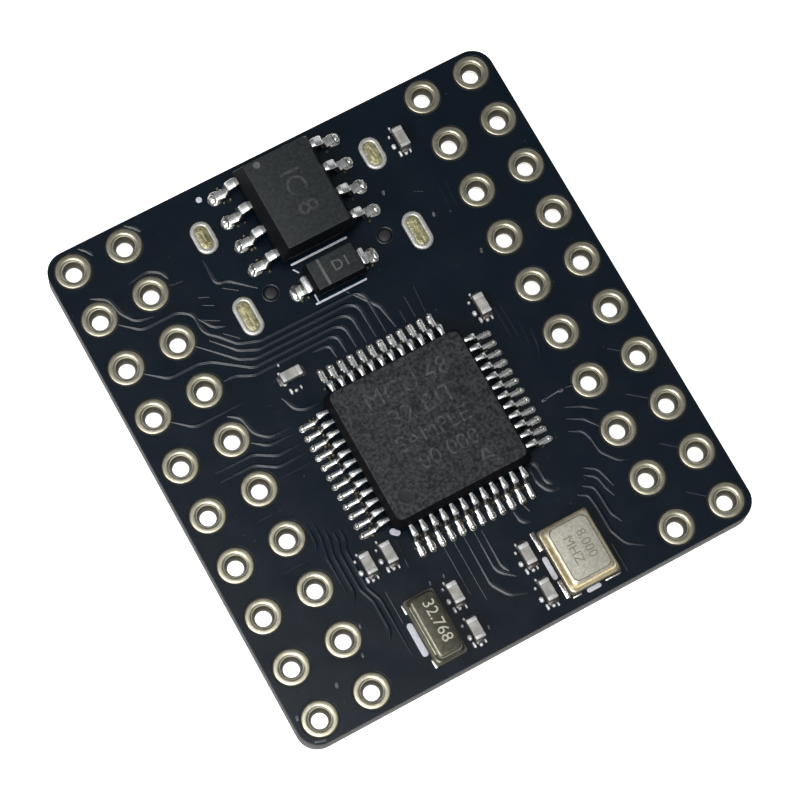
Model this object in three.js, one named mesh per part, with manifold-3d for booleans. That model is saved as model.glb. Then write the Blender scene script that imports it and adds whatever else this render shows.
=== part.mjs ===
// A small microcontroller development board: a 40-hole carrier board with the controller, its
// crystals, an 8-pin memory chip and a diode on the upper face, and a USB-C receptacle, a voltage
// regulator, two push buttons and two indicator lights on the lower face.
// Frame: +Z out of the face that carries the controller, +Y towards the USB-C mouth, +X across.
// The origin is below the middle of the board, level with the underside of the USB-C shell.
import * as THREE from "three";
import { mergeVertices } from "three/addons/utils/BufferGeometryUtils.js";
import Module from "manifold-3d";

const wasm = await Module();
wasm.setup();

// Driving dimensions, in millimetres.
const pinPitch = 2.54;
const pinsPerRow = 10;
const rowPositions = [-4, -3, 3, 4].map((step) => step * pinPitch);
const solderFilm = 0.02;
const fitGap = 0.02;
const cutMargin = 1;
const mergeTolerance = 1e-5;
const circleSides = 12;
const turnedSides = 16;
const cornerSteps = 4;

const board = { width: 22.6, length: 25, thickness: 1.2, corner: 1 };
const platedHole = { padRadius: 0.8, radius: 0.5, padHeight: 0.05 };

const usb = {
  width: 8.94,
  height: 3.2,
  length: 7.35,
  wall: 0.3,
  blockLength: 1.9,
  neckWidth: 6.6,
  notchWidth: 6.8,
  tongueWidth: 6.69,
  tongueThickness: 0.7,
  tongueSetback: 0.6,
  pegX: 2.89,
  pegY: 6.43,
  pegRadius: 0.27,
  pegHoleRadius: 0.325,
  pegSetback: 0.3,
};
const usbLegs = [
  { name: "front", y: 10.1, slotLength: 1.2, ringLength: 1.6 },
  { name: "rear", y: 5.93, slotLength: 1.5, ringLength: 1.9 },
];
const usbLeg = { x: 4.3, slotWidth: 0.6, ringWidth: 1, thickness: 0.3, endMargin: 0.2 };
const legSolder = { ringHeight: 0.1, plugOverlap: 0.05 };
const usbContact = {
  positions: [-2.75, -1.25, -0.75, -0.25, 0.25, 0.75, 1.25, 2.75],
  width: 0.26,
  thickness: 0.12,
  proud: 0.06,
  tipSetback: 1.1,
  bendSetback: 0.35,
  tailLength: 0.75,
};

const midPlate = { thickness: 0.16, proud: 0.06, rearMargin: 1, tipMargin: 0.4 };

// Moulded packages: the bottom is smaller by the draft all round, the top by its own inset on each
// side (a larger one on the left is the bevel that marks the side with pin 1).
const mouldedWaist = 0.2;
const controller = {
  x: 0,
  y: -2.54,
  width: 7,
  length: 7,
  height: 1.5,
  standoff: 0.1,
  draft: 0.12,
  topInset: { left: 0.27, right: 0.27, ends: 0.27 },
  chamfer: 0.25,
};
const controllerLeads = {
  count: 12,
  pitch: 0.5,
  width: 0.22,
  thickness: 0.14,
  exitHeight: 0.78,
  shoulder: 0.22,
  drop: 0.16,
  reach: 4.5,
  rootDepth: 0.45,
};
const memoryChip = {
  x: 0,
  y: 9.6,
  width: 3.9,
  length: 4.9,
  height: 1.5,
  standoff: 0.12,
  draft: 0.12,
  topInset: { left: 0.48, right: 0.3, ends: 0.25 },
  chamfer: 0.14,
};
const memoryLeads = {
  count: 4,
  pitch: 1.27,
  width: 0.42,
  thickness: 0.2,
  exitHeight: 0.8,
  shoulder: 0.25,
  drop: 0.2,
  reach: 3.05,
  rootDepth: 0.45,
};
const diode = {
  x: 0,
  y: 5.85,
  width: 2.7,
  length: 1.6,
  height: 1.15,
  standoff: 0.05,
  draft: 0.1,
  topInset: { left: 0.22, right: 0.2, ends: 0.12 },
  chamfer: 0.12,
};
const diodeLeads = {
  count: 1,
  pitch: 0,
  width: 0.6,
  thickness: 0.15,
  exitHeight: 0.55,
  shoulder: 0.12,
  drop: 0.1,
  reach: 1.9,
  rootDepth: 0.3,
};
const regulator = {
  x: -3.4,
  y: 0.6,
  width: 1.6,
  length: 2.9,
  height: 1.1,
  standoff: 0.1,
  draft: 0.08,
  topInset: { left: 0.08, right: 0.08, ends: 0.08 },
  chamfer: 0.1,
};
const regulatorLeads = {
  count: 3,
  pitch: 0.95,
  width: 0.4,
  thickness: 0.15,
  exitHeight: 0.6,
  shoulder: 0.16,
  drop: 0.12,
  reach: 1.4,
  rootDepth: 0.3,
};
const regulatorOutputLeads = { ...regulatorLeads, count: 2, pitch: 1.9 };

const crystals = [
  { name: "watch_crystal", x: -3.9, y: -10.3, width: 1.5, length: 3.2, height: 0.75, rim: 0.12 },
  { name: "main_crystal", x: 3.25, y: -10.35, width: 2.5, length: 3.2, height: 0.8, rim: 0.16 },
];
const lidThickness = 0.2;
const trayWall = 0.4;
const cavityDepth = 0.3;

const chip0402 = { length: 1, width: 0.5, height: 0.42, capLength: 0.24, capProud: 0.02 };
const upperChips = [
  { name: "memory_chip_capacitor", x: 5.75, y: 10.1, alongY: true },
  { name: "controller_capacitor_left", x: -3.95, y: 2.6, alongY: false },
  { name: "controller_capacitor_right", x: 5.08, y: 1.47, alongY: true },
  { name: "reset_line_capacitor", x: -5.1, y: -6.5, alongY: true },
  { name: "analog_supply_capacitor", x: -4.08, y: -6.5, alongY: true },
  { name: "watch_crystal_capacitor_near", x: -2.4, y: -9.42, alongY: true },
  { name: "watch_crystal_capacitor_far", x: -2.4, y: -11.22, alongY: true },
  { name: "main_crystal_capacitor_near", x: 1.2, y: -9.42, alongY: true },
  { name: "main_crystal_capacitor_far", x: 1.2, y: -11.22, alongY: true },
];
const lowerChips = [
  { name: "usb_sense_resistor_left", x: -1.6, y: 3.5, alongY: true },
  { name: "usb_sense_resistor_right", x: 1.6, y: 3.5, alongY: true },
  { name: "regulator_input_capacitor", x: -0.9, y: 1.3, alongY: true },
  { name: "regulator_output_capacitor", x: -0.9, y: -0.7, alongY: true },
  { name: "power_light_resistor", x: 1.9, y: 1.2, alongY: true },
  { name: "user_light_resistor", x: 1.9, y: -1.6, alongY: true },
];

const lights = [
  { name: "power_light", x: 3.7, y: 1.2 },
  { name: "user_light", x: 3.7, y: -1.6 },
];
const light = { length: 1.6, width: 0.8, baseHeight: 0.3, height: 0.7, lensLength: 1.1 };

const buttons = [
  { name: "reset_button", x: -3.3, y: -7.6 },
  { name: "boot_button", x: 3.3, y: -7.6 },
];
const button = {
  width: 3,
  length: 4,
  height: 2,
  sheet: 0.15,
  coverHeight: 1.2,
  skirtLift: 0.25,
  floor: 0.3,
  wellRadius: 1.15,
  coverHoleRadius: 0.9,
  stemRadius: 0.8,
  flangeRadius: 1.05,
  flangeHeight: 0.26,
  stemRounding: 0.15,
  domeRadius: 1.1,
  domeHeight: 0.4,
  domeThickness: 0.06,
};
const terminal = { width: 0.6, thickness: 0.15, length: 3.8, y: 1.35 };

// Levels worked out from the driving dimensions.
const boardBottom = usb.height + solderFilm;
const boardTop = boardBottom + board.thickness;
const usbMouth = board.length / 2;
const usbRear = usbMouth - usb.length;
const usbCentreHeight = usb.height / 2;
const tongueTip = usbMouth - usb.tongueSetback;
const tongueTop = usbCentreHeight + usb.tongueThickness / 2;
const pegTop = boardTop - usb.pegSetback;

const materials = {
  solderMask: material(0x1a1e28, 0.35, 0),
  mouldedEpoxy: material(0x3a3a3c, 0.7, 0),
  tinnedLead: material(0xc8c8c8, 0.3, 1),
  solder: material(0xc4c09a, 0.3, 1),
  crystalBase: material(0xa89c80, 0.6, 0),
  crystalLid: material(0xb0a894, 0.35, 1),
  darkCrystalLid: material(0x57523f, 0.4, 1),
  chipCeramic: material(0x9a9078, 0.6, 0),
  chipResistor: material(0x26262a, 0.5, 0),
  shellSteel: material(0xb8b8ba, 0.3, 1),
  blackPlastic: material(0x17171a, 0.55, 0),
  contactGold: material(0xd2ac5a, 0.3, 1),
  springSteel: material(0xc0c0c4, 0.25, 1),
  plungerPlastic: material(0x2a2a2c, 0.5, 0),
  lightBase: material(0xe6e2d2, 0.6, 0),
  lightLens: material(0xe8e8da, 0.2, 0),
};

function material(color, roughness, metalness) {
  return new THREE.MeshStandardMaterial({ color, roughness, metalness });
}

function named(name, geometry, finish) {
  const mesh = new THREE.Mesh(geometry, finish);
  mesh.name = name;
  return mesh;
}

// Solids and how they are joined and cut.
function solidOf(geometry) {
  const bare = geometry.clone();
  bare.deleteAttribute("normal");
  bare.deleteAttribute("uv");
  const merged = mergeVertices(bare, mergeTolerance);
  return new wasm.Manifold(
    new wasm.Mesh({
      numProp: 3,
      vertProperties: new Float32Array(merged.attributes.position.array),
      triVerts: new Uint32Array(merged.index.array),
    }),
  );
}

function geometryOf(solid) {
  const mesh = solid.getMesh();
  const geometry = new THREE.BufferGeometry();
  geometry.setAttribute("position", new THREE.BufferAttribute(mesh.vertProperties, 3));
  geometry.setIndex(new THREE.BufferAttribute(mesh.triVerts, 1));
  geometry.computeVertexNormals();
  return geometry;
}

function joined(first, ...others) {
  return geometryOf(others.reduce((sum, other) => sum.add(solidOf(other)), solidOf(first)));
}

function cut(body, ...tools) {
  return geometryOf(tools.reduce((left, tool) => left.subtract(solidOf(tool)), solidOf(body)));
}

// Outlines.
function arc(centreX, centreY, radius, from, to, steps) {
  return Array.from({ length: steps + 1 }, (_, step) => {
    const angle = from + ((to - from) * step) / steps;
    return new THREE.Vector2(
      centreX + radius * Math.cos(angle),
      centreY + radius * Math.sin(angle),
    );
  });
}

function circle(centreX, centreY, radius) {
  return arc(centreX, centreY, radius, 0, 2 * Math.PI, circleSides).slice(0, -1);
}

// A rectangle whose corners are arcs; one step makes each corner a chamfer.
function roundedRectangle(centreX, centreY, width, length, corner, steps = cornerSteps) {
  const alongX = width / 2 - corner;
  const alongY = length / 2 - corner;
  const centres = [
    [alongX, alongY],
    [-alongX, alongY],
    [-alongX, -alongY],
    [alongX, -alongY],
  ];
  return centres
    .flatMap(([x, y], quarter) => {
      const from = (quarter * Math.PI) / 2;
      return arc(centreX + x, centreY + y, corner, from, from + Math.PI / 2, steps);
    })
    .filter((point, index, all) => point.distanceTo(all[(index + 1) % all.length]) > mergeTolerance);
}

function slot(centreX, centreY, width, length) {
  return roundedRectangle(centreX, centreY, width, length, width / 2);
}

// Extrusions and boxes.
function prism(outline, bottom, top, holes = []) {
  const shape = new THREE.Shape(outline);
  shape.holes = holes.map((hole) => new THREE.Path(hole));
  const settings = { depth: top - bottom, bevelEnabled: false };
  return new THREE.ExtrudeGeometry(shape, settings).translate(0, 0, bottom);
}

// A section drawn in X and Z, run along Y.
function prismAlongY(section, from, to, holes = []) {
  return prism(section, -to, -from, holes).rotateX(Math.PI / 2);
}

// A section drawn in Y and Z, run along X.
function prismAlongX(section, from, to) {
  return prism(section, from, to).rotateX(Math.PI / 2).rotateZ(Math.PI / 2);
}

function box(from, to) {
  const size = to.map((value, axis) => value - from[axis]);
  const middle = to.map((value, axis) => (value + from[axis]) / 2);
  return new THREE.BoxGeometry(...size).translate(...middle);
}

function lathe(profile) {
  const points = profile.map(([radius, height]) => new THREE.Vector2(radius, height));
  return new THREE.LatheGeometry(points, turnedSides).rotateX(Math.PI / 2);
}

// The bare board: laminate, mask and plated holes, as the board maker delivers it.
function bareBoard() {
  const places = rowPositions.flatMap((x) =>
    Array.from({ length: pinsPerRow }, (_, pin) => [x, ((pinsPerRow - 1) / 2 - pin) * pinPitch]),
  );
  const platingRadius = (platedHole.padRadius + platedHole.radius) / 2;
  const openings = [
    ...places.map(([x, y]) => circle(x, y, platingRadius)),
    ...[-1, 1].map((side) => circle(side * usb.pegX, usb.pegY, usb.pegHoleRadius)),
    ...usbLegs.flatMap((leg) =>
      [-1, 1].map((side) => slot(side * usbLeg.x, leg.y, usbLeg.slotWidth, leg.slotLength)),
    ),
  ];
  const outline = roundedRectangle(0, 0, board.width, board.length, board.corner);
  const plate = prism(outline, boardBottom, boardTop, openings);
  const platings = places.map(([x, y]) =>
    prism(
      circle(x, y, platedHole.padRadius),
      boardBottom - platedHole.padHeight,
      boardTop + platedHole.padHeight,
      [circle(x, y, platedHole.radius)],
    ),
  );
  return named("pcb", joined(plate, ...platings), materials.solderMask);
}

// A convex solid whose skin runs through outlines of equally many points, one above the other.
function stackedSolid(sections) {
  const rings = sections.map(([outline, height]) =>
    outline.map(({ x, y }) => new THREE.Vector3(x, y, height)),
  );
  const count = rings[0].length;
  const corners = [];
  for (let level = 1; level < rings.length; level += 1) {
    const lower = rings[level - 1];
    const upper = rings[level];
    for (let index = 0; index < count; index += 1) {
      const next = (index + 1) % count;
      corners.push(lower[index], lower[next], upper[next]);
      corners.push(lower[index], upper[next], upper[index]);
    }
  }
  const bottom = rings[0];
  const top = rings[rings.length - 1];
  for (let index = 2; index < count; index += 1) {
    corners.push(bottom[0], bottom[index], bottom[index - 1]);
    corners.push(top[0], top[index - 1], top[index]);
  }
  return new THREE.BufferGeometry().setFromPoints(corners);
}

// A moulded package body, widest at its waist, standing on the board at height 0.
function mouldedBody(size) {
  const slope = (size.height - size.standoff - mouldedWaist) / 2;
  const waistBottom = size.standoff + slope;
  const { left, right, ends } = size.topInset;
  const inset = (leftInset, rightInset, endInset) =>
    roundedRectangle(
      (leftInset - rightInset) / 2,
      0,
      size.width - leftInset - rightInset,
      size.length - 2 * endInset,
      size.chamfer,
      1,
    );
  return stackedSolid([
    [inset(size.draft, size.draft, size.draft), size.standoff],
    [inset(0, 0, 0), waistBottom],
    [inset(0, 0, 0), waistBottom + mouldedWaist],
    [inset(left, right, ends), size.height],
  ]);
}

// Gull-wing leads that leave a body's +X side, with the frame bar that ties them inside it.
function leadBank(leads, bodyHalf, gap = 0) {
  const low = leads.exitHeight - leads.thickness / 2 - gap;
  const high = leads.exitHeight + leads.thickness / 2 + gap;
  const root = bodyHalf - leads.rootDepth - gap;
  const knee = bodyHalf + leads.shoulder;
  const heel = knee + leads.drop;
  const half = leads.thickness / 2;
  const section = [
    [root, low],
    [knee - half, low],
    [heel - half, 0],
    [leads.reach, 0],
    [leads.reach, leads.thickness],
    [heel + half, leads.thickness],
    [knee + half, high],
    [root, high],
  ].map(([x, z]) => new THREE.Vector2(x, z));
  const halfWidth = leads.width / 2 + gap;
  const fingers = Array.from({ length: leads.count }, (_, finger) => {
    const y = (finger - (leads.count - 1) / 2) * leads.pitch;
    return prismAlongY(section, y - halfWidth, y + halfWidth);
  });
  if (leads.count === 1) return fingers[0];
  const barHalf = ((leads.count - 1) / 2) * leads.pitch + halfWidth;
  const bar = box([root, -barHalf, low], [root + leads.thickness + 2 * gap, barHalf, high]);
  return joined(bar, ...fingers);
}

// A package: its moulded body, cut to hold the banks, and one named bank on each listed side.
function leadedPackage(name, size, banks) {
  const group = new THREE.Group();
  const turned = (bank, gap) => {
    const bodyHalf = (bank.quarter % 2 ? size.length : size.width) / 2;
    return leadBank(bank.leads, bodyHalf, gap).rotateZ((bank.quarter * Math.PI) / 2);
  };
  const pockets = banks.map((bank) => turned(bank, fitGap));
  const body = cut(mouldedBody(size), ...pockets);
  group.add(named(name + "_body", body, materials.mouldedEpoxy));
  for (const bank of banks) {
    group.add(named(name + "_leads_" + bank.side, turned(bank), materials.tinnedLead));
  }
  return group;
}

function controllerPackage() {
  const sides = ["right", "usb_side", "left", "far_side"];
  const banks = sides.map((side, quarter) => ({ side, quarter, leads: controllerLeads }));
  return leadedPackage("controller", controller, banks);
}

function twoSidedPackage(name, size, rightLeads, leftLeads) {
  return leadedPackage(name, size, [
    { side: "right", quarter: 0, leads: rightLeads },
    { side: "left", quarter: 2, leads: leftLeads },
  ]);
}

// A crystal: a ceramic tray with a metal lid seated on its rim.
function crystal(size) {
  const group = new THREE.Group();
  const trayTop = size.height - lidThickness;
  const trayOutline = roundedRectangle(0, 0, size.width, size.length, size.rim);
  const cavityHalf = [size.width / 2 - trayWall, size.length / 2 - trayWall];
  const cavity = box(
    [-cavityHalf[0], -cavityHalf[1], trayTop - cavityDepth],
    [...cavityHalf, size.height],
  );
  const tray = cut(prism(trayOutline, 0, trayTop), cavity);
  const lidOutline = roundedRectangle(
    0,
    0,
    size.width - 2 * size.rim,
    size.length - 2 * size.rim,
    2 * size.rim,
  );
  const lid = prism(lidOutline, trayTop + fitGap, size.height);
  const lidFinish = size.name === "watch_crystal" ? materials.darkCrystalLid : materials.crystalLid;
  group.add(named(size.name + "_tray", tray, materials.crystalBase));
  group.add(named(size.name + "_lid", lid, lidFinish));
  return group;
}

// A chip capacitor or resistor: its end caps stand slightly proud of the ceramic between them.
function chipPart(name, finish) {
  const half = chip0402.length / 2;
  const capStart = half - chip0402.capLength;
  const wide = chip0402.width / 2;
  const narrow = wide - chip0402.capProud;
  const quarter = [
    [half, wide],
    [capStart, wide],
    [capStart, narrow],
  ];
  const outline = [
    ...quarter,
    ...quarter.map(([x, y]) => [-x, y]).reverse(),
    ...quarter.map(([x, y]) => [-x, -y]),
    ...quarter.map(([x, y]) => [x, -y]).reverse(),
  ].map(([x, y]) => new THREE.Vector2(x, y));
  return named(name, prism(outline, 0, chip0402.height), finish);
}

// An indicator light: a flat base with its end contacts and a clear block over the die.
function indicatorLight(name) {
  const group = new THREE.Group();
  const half = [light.length / 2, light.width / 2];
  const base = box([-half[0], -half[1], 0], [half[0], half[1], light.baseHeight]);
  const lensFrom = [-light.lensLength / 2, -half[1], light.baseHeight + fitGap];
  const lens = box(lensFrom, [light.lensLength / 2, half[1], light.height]);
  group.add(named(name + "_base", base, materials.lightBase));
  group.add(named(name + "_lens", lens, materials.lightLens));
  return group;
}

// A push button: base with a round well, two contact strips under it, a snap dome in the well, a
// plunger resting on the dome and a sheet-steel cover that holds the plunger's flange in.
function pushButton(name) {
  const group = new THREE.Group();
  const coverInside = button.coverHeight - button.sheet;
  const innerHalf = [button.width / 2 - button.sheet, button.length / 2 - button.sheet];
  const strips = [-1, 1].map((side) => ({ side, y: side * terminal.y }));
  const strip = (y, gap) => {
    const halfWidth = terminal.width / 2 + gap;
    const from = [-terminal.length / 2 - gap, y - halfWidth, 0];
    return box(from, [terminal.length / 2 + gap, y + halfWidth, terminal.thickness + gap]);
  };
  const baseFrom = [-innerHalf[0] + fitGap, -innerHalf[1] + fitGap, 0];
  const baseTo = [innerHalf[0] - fitGap, innerHalf[1] - fitGap, coverInside - fitGap];
  const well = prism(circle(0, 0, button.wellRadius), button.floor, button.height);
  const base = cut(box(baseFrom, baseTo), well, ...strips.map(({ y }) => strip(y, fitGap)));
  const coverOutside = box(
    [-button.width / 2, -button.length / 2, button.skirtLift],
    [button.width / 2, button.length / 2, button.coverHeight],
  );
  const coverHollow = box([-innerHalf[0], -innerHalf[1], 0], [...innerHalf, coverInside]);
  const coverHole = prism(circle(0, 0, button.coverHoleRadius), 0, button.height);
  const cover = cut(coverOutside, coverHollow, coverHole);
  group.add(named(name + "_base", base, materials.blackPlastic));
  group.add(named(name + "_cover", cover, materials.springSteel));
  group.add(named(name + "_dome", snapDome(), materials.springSteel));
  group.add(named(name + "_plunger", plunger(coverInside), materials.plungerPlastic));
  for (const { side, y } of strips) {
    const stripName = name + (side < 0 ? "_terminal_far" : "_terminal_near");
    group.add(named(stripName, strip(y, 0), materials.tinnedLead));
  }
  return group;
}

function snapDome() {
  const base = button.floor + fitGap;
  const steps = cornerSteps;
  const profile = Array.from({ length: steps + 1 }, (_, step) => {
    const angle = (step / steps) * (Math.PI / 2);
    return [button.domeRadius * Math.cos(angle), button.domeHeight * Math.sin(angle)];
  });
  const inner = button.domeThickness;
  const outside = profile.map(([radius, rise], step) => [
    step === steps ? 0 : radius,
    base + inner + (rise * (button.domeHeight - inner)) / button.domeHeight,
  ]);
  const inside = outside
    .map(([radius, height]) => [Math.max(radius - inner, 0), height - inner])
    .reverse();
  return lathe([...inside, [outside[0][0], base], ...outside]);
}

function plunger(coverInside) {
  const top = coverInside - fitGap;
  const bottom = top - button.flangeHeight;
  const rounding = button.stemRounding;
  const edge = arc(
    button.stemRadius - rounding,
    button.height - rounding,
    rounding,
    0,
    Math.PI / 2,
    cornerSteps,
  ).map(({ x, y }) => [x, y]);
  return lathe([
    [0, bottom],
    [button.flangeRadius, bottom],
    [button.flangeRadius, top],
    [button.stemRadius, top],
    ...edge,
    [0, button.height],
  ]);
}

// The USB-C receptacle, mouth towards +Y.
function usbSection(inset) {
  const width = usb.width - 2 * inset;
  const height = usb.height - 2 * inset;
  return roundedRectangle(0, usbCentreHeight, width, height, height / 2);
}

function legBox(side, leg, gap) {
  const halfLength = leg.slotLength / 2 - usbLeg.endMargin + gap;
  const outer = usb.width / 2;
  const xs = [side * (outer - usbLeg.thickness - gap), side * (outer + gap)].sort((a, b) => a - b);
  const top = boardTop - usbLeg.endMargin + gap;
  return box([xs[0], leg.y - halfLength, usbCentreHeight], [xs[1], leg.y + halfLength, top]);
}

function usbShell() {
  const tube = prismAlongY(usbSection(0), usbRear, usbMouth, [usbSection(usb.wall)]);
  const notch = box(
    [-usb.notchWidth / 2, usbRear - cutMargin, usb.height - 2 * usb.wall],
    [usb.notchWidth / 2, usbRear + usb.blockLength + fitGap, usb.height + cutMargin],
  );
  const legs = usbLegs.flatMap((leg) => [-1, 1].map((side) => legBox(side, leg, 0)));
  return named("usb_shell", joined(cut(tube, notch), ...legs), materials.shellSteel);
}

// Solder that fills one slot of the board round a shell leg and covers its plated ring.
function usbLegSolder(side, leg) {
  const x = side * usbLeg.x;
  const crown = boardTop + fitGap;
  const ring = slot(x, leg.y, usbLeg.ringWidth, leg.ringLength);
  const plugOutline = slot(
    x,
    leg.y,
    usbLeg.slotWidth - 2 * fitGap,
    leg.slotLength - 2 * fitGap,
  );
  const body = joined(
    prism(plugOutline, boardBottom, crown + legSolder.plugOverlap),
    prism(ring, crown, crown + legSolder.ringHeight),
  );
  const name = "usb_leg_solder_" + leg.name + (side < 0 ? "_left" : "_right");
  return named(name, cut(body, legBox(side, leg, fitGap)), materials.solder);
}

function usbMidPlate(gap = 0) {
  const halfWidth = usb.tongueWidth / 2 + midPlate.proud + gap;
  const halfThickness = midPlate.thickness / 2 + gap;
  return box(
    [-halfWidth, usbRear + midPlate.rearMargin - gap, usbCentreHeight - halfThickness],
    [halfWidth, tongueTip - midPlate.tipMargin + gap, usbCentreHeight + halfThickness],
  );
}

// Contact strips on one face of the tongue; those on the board's side go on to the soldered tails.
// A bar behind the bend, inside the housing, ties the strips of one row.
function usbContacts(boardSide, gap = 0) {
  const { width, thickness, proud, tipSetback, bendSetback, tailLength, positions } = usbContact;
  const top = tongueTop + proud + gap;
  const bottom = tongueTop + proud - thickness - gap;
  const tip = usbMouth - tipSetback + gap;
  const bendFront = usbRear + bendSetback + thickness + gap;
  const bendBack = usbRear + bendSetback - gap;
  const footTop = usb.height + solderFilm / 2;
  const footBottom = footTop - thickness - gap;
  const tailEnd = usbRear - tailLength;
  const tongueRun = [
    [bendBack, bottom],
    [tip, bottom],
    [tip, top],
  ];
  const riserAndTail = [
    [bendFront, top],
    [bendFront, footTop],
    [tailEnd, footTop],
    [tailEnd, footBottom],
    [bendBack, footBottom],
  ];
  const points = boardSide ? [...tongueRun, ...riserAndTail] : [...tongueRun, [bendBack, top]];
  const section = points.map(([y, z]) => new THREE.Vector2(y, z));
  const halfWidth = width / 2 + gap;
  const fingers = positions.map((x) => prismAlongX(section, x - halfWidth, x + halfWidth));
  const barHalf = Math.max(...positions) + halfWidth;
  const bar = box([-barHalf, bendBack, bottom], [barHalf, bendFront, top]);
  const row = joined(bar, ...fingers);
  if (boardSide) return row;
  return row.translate(0, 0, -usbCentreHeight).rotateY(Math.PI).translate(0, 0, usbCentreHeight);
}

function usbHousing() {
  const block = prismAlongY(usbSection(usb.wall + fitGap), usbRear, usbRear + usb.blockLength);
  const neck = box(
    [-usb.neckWidth / 2, usbRear, usbCentreHeight],
    [usb.neckWidth / 2, usbRear + usb.blockLength, usb.height - fitGap],
  );
  const tongue = box(
    [-usb.tongueWidth / 2, usbRear, usbCentreHeight - usb.tongueThickness / 2],
    [usb.tongueWidth / 2, tongueTip, tongueTop],
  );
  const pegs = [-1, 1].map((side) =>
    prism(circle(side * usb.pegX, usb.pegY, usb.pegRadius), usbCentreHeight, pegTop),
  );
  const body = joined(block, neck, tongue, ...pegs);
  const pockets = [usbMidPlate(fitGap), usbContacts(true, fitGap), usbContacts(false, fitGap)];
  return named("usb_housing", cut(body, ...pockets), materials.blackPlastic);
}

function usbReceptacle() {
  const group = new THREE.Group();
  group.add(usbShell());
  group.add(usbHousing());
  group.add(named("usb_mid_plate", usbMidPlate(), materials.springSteel));
  group.add(named("usb_contacts_board_side", usbContacts(true), materials.contactGold));
  group.add(named("usb_contacts_outer_side", usbContacts(false), materials.contactGold));
  for (const leg of usbLegs) {
    group.add(usbLegSolder(-1, leg), usbLegSolder(1, leg));
  }
  return group;
}

// Placing on the two faces. On the lower face a piece is turned over about the board's Y axis.
function onUpperFace(object, { x, y, alongY }) {
  object.position.set(x, y, boardTop + solderFilm);
  object.rotation.z = alongY ? Math.PI / 2 : 0;
  return object;
}

function onLowerFace(object, { x, y, alongY }) {
  const holder = new THREE.Group();
  object.rotation.z = alongY ? Math.PI / 2 : 0;
  holder.add(object);
  holder.position.set(x, y, boardBottom - solderFilm);
  holder.rotation.y = Math.PI;
  return holder;
}

const developmentBoard = new THREE.Group();
developmentBoard.add(bareBoard());
developmentBoard.add(usbReceptacle());
developmentBoard.add(onUpperFace(controllerPackage(), controller));
developmentBoard.add(
  onUpperFace(twoSidedPackage("memory_chip", memoryChip, memoryLeads, memoryLeads), memoryChip),
);
developmentBoard.add(
  onUpperFace(twoSidedPackage("diode", diode, diodeLeads, diodeLeads), diode),
);
developmentBoard.add(
  onLowerFace(
    twoSidedPackage("regulator", regulator, regulatorLeads, regulatorOutputLeads),
    regulator,
  ),
);
for (const size of crystals) {
  developmentBoard.add(onUpperFace(crystal(size), size));
}
for (const chip of upperChips) {
  developmentBoard.add(onUpperFace(chipPart(chip.name, materials.chipCeramic), chip));
}
for (const chip of lowerChips) {
  const finish = chip.name.includes("resistor") ? materials.chipResistor : materials.chipCeramic;
  developmentBoard.add(onLowerFace(chipPart(chip.name, finish), chip));
}
for (const place of lights) {
  developmentBoard.add(onLowerFace(indicatorLight(place.name), place));
}
for (const place of buttons) {
  developmentBoard.add(onLowerFace(pushButton(place.name), place));
}

export default developmentBoard;
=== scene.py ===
"""The looks of a small microcontroller development board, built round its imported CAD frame.

Shapes are worked out in millimetres in the frame's own axes (+Z out of the controller's face, +Y
towards the USB-C mouth) and scaled to metres when a piece is made.
"""
import math
import random

import bpy
from mathutils import Euler, Matrix, Vector


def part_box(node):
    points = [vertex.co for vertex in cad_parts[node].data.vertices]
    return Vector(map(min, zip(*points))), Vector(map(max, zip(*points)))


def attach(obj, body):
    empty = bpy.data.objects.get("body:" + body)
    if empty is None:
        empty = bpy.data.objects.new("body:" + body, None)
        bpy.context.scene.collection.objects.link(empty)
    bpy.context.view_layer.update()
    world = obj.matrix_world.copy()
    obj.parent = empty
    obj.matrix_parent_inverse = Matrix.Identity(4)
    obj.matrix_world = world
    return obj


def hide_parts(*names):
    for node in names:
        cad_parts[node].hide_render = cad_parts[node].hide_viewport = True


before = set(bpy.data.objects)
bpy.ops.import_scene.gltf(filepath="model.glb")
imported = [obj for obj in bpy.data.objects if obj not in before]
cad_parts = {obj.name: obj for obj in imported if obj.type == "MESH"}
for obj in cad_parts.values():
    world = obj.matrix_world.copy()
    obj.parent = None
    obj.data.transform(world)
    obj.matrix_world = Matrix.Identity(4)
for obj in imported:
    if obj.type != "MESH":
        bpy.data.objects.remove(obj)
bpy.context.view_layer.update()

MM = 0.001
BODY = "board"
SEED = 7
IDENTITY = Matrix.Identity(4)
TURNED_OVER = Matrix.Rotation(math.pi, 4, "Y")

# -------- driving dimensions, in millimetres
PIN_PITCH = 2.54
PINS_PER_ROW = 10
ROW_NAMES = {-4: "left_outer", -3: "left_inner", 3: "right_inner", 4: "right_outer"}
PAD_RADIUS = 0.8
PAD_HEIGHT = 0.05
HOLE_RADIUS = 0.5
PLATING_DEPTH = 0.14
PLATING_BACK = 0.54
NECK_RADIUS = 0.37
NECK_DEPTH = 0.4
NECK_END = 0.62
MASK_THICKNESS = 0.04
MASK_OPENING = 0.88
MASK_SETBACK = 0.02
MASK_EDGE = 0.015
PLATING_GAP = 0.05
CORE_SLOT_INSET = 0.18
MASK_SLOT_INSET = -0.03
LAMINATE_EDGE = 0.02
PAD_SIDES = 48
HOLE_SIDES = 32
BOARD_CORNER = 1.0
BLOCK_EDGE_STEPS = 3

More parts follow.
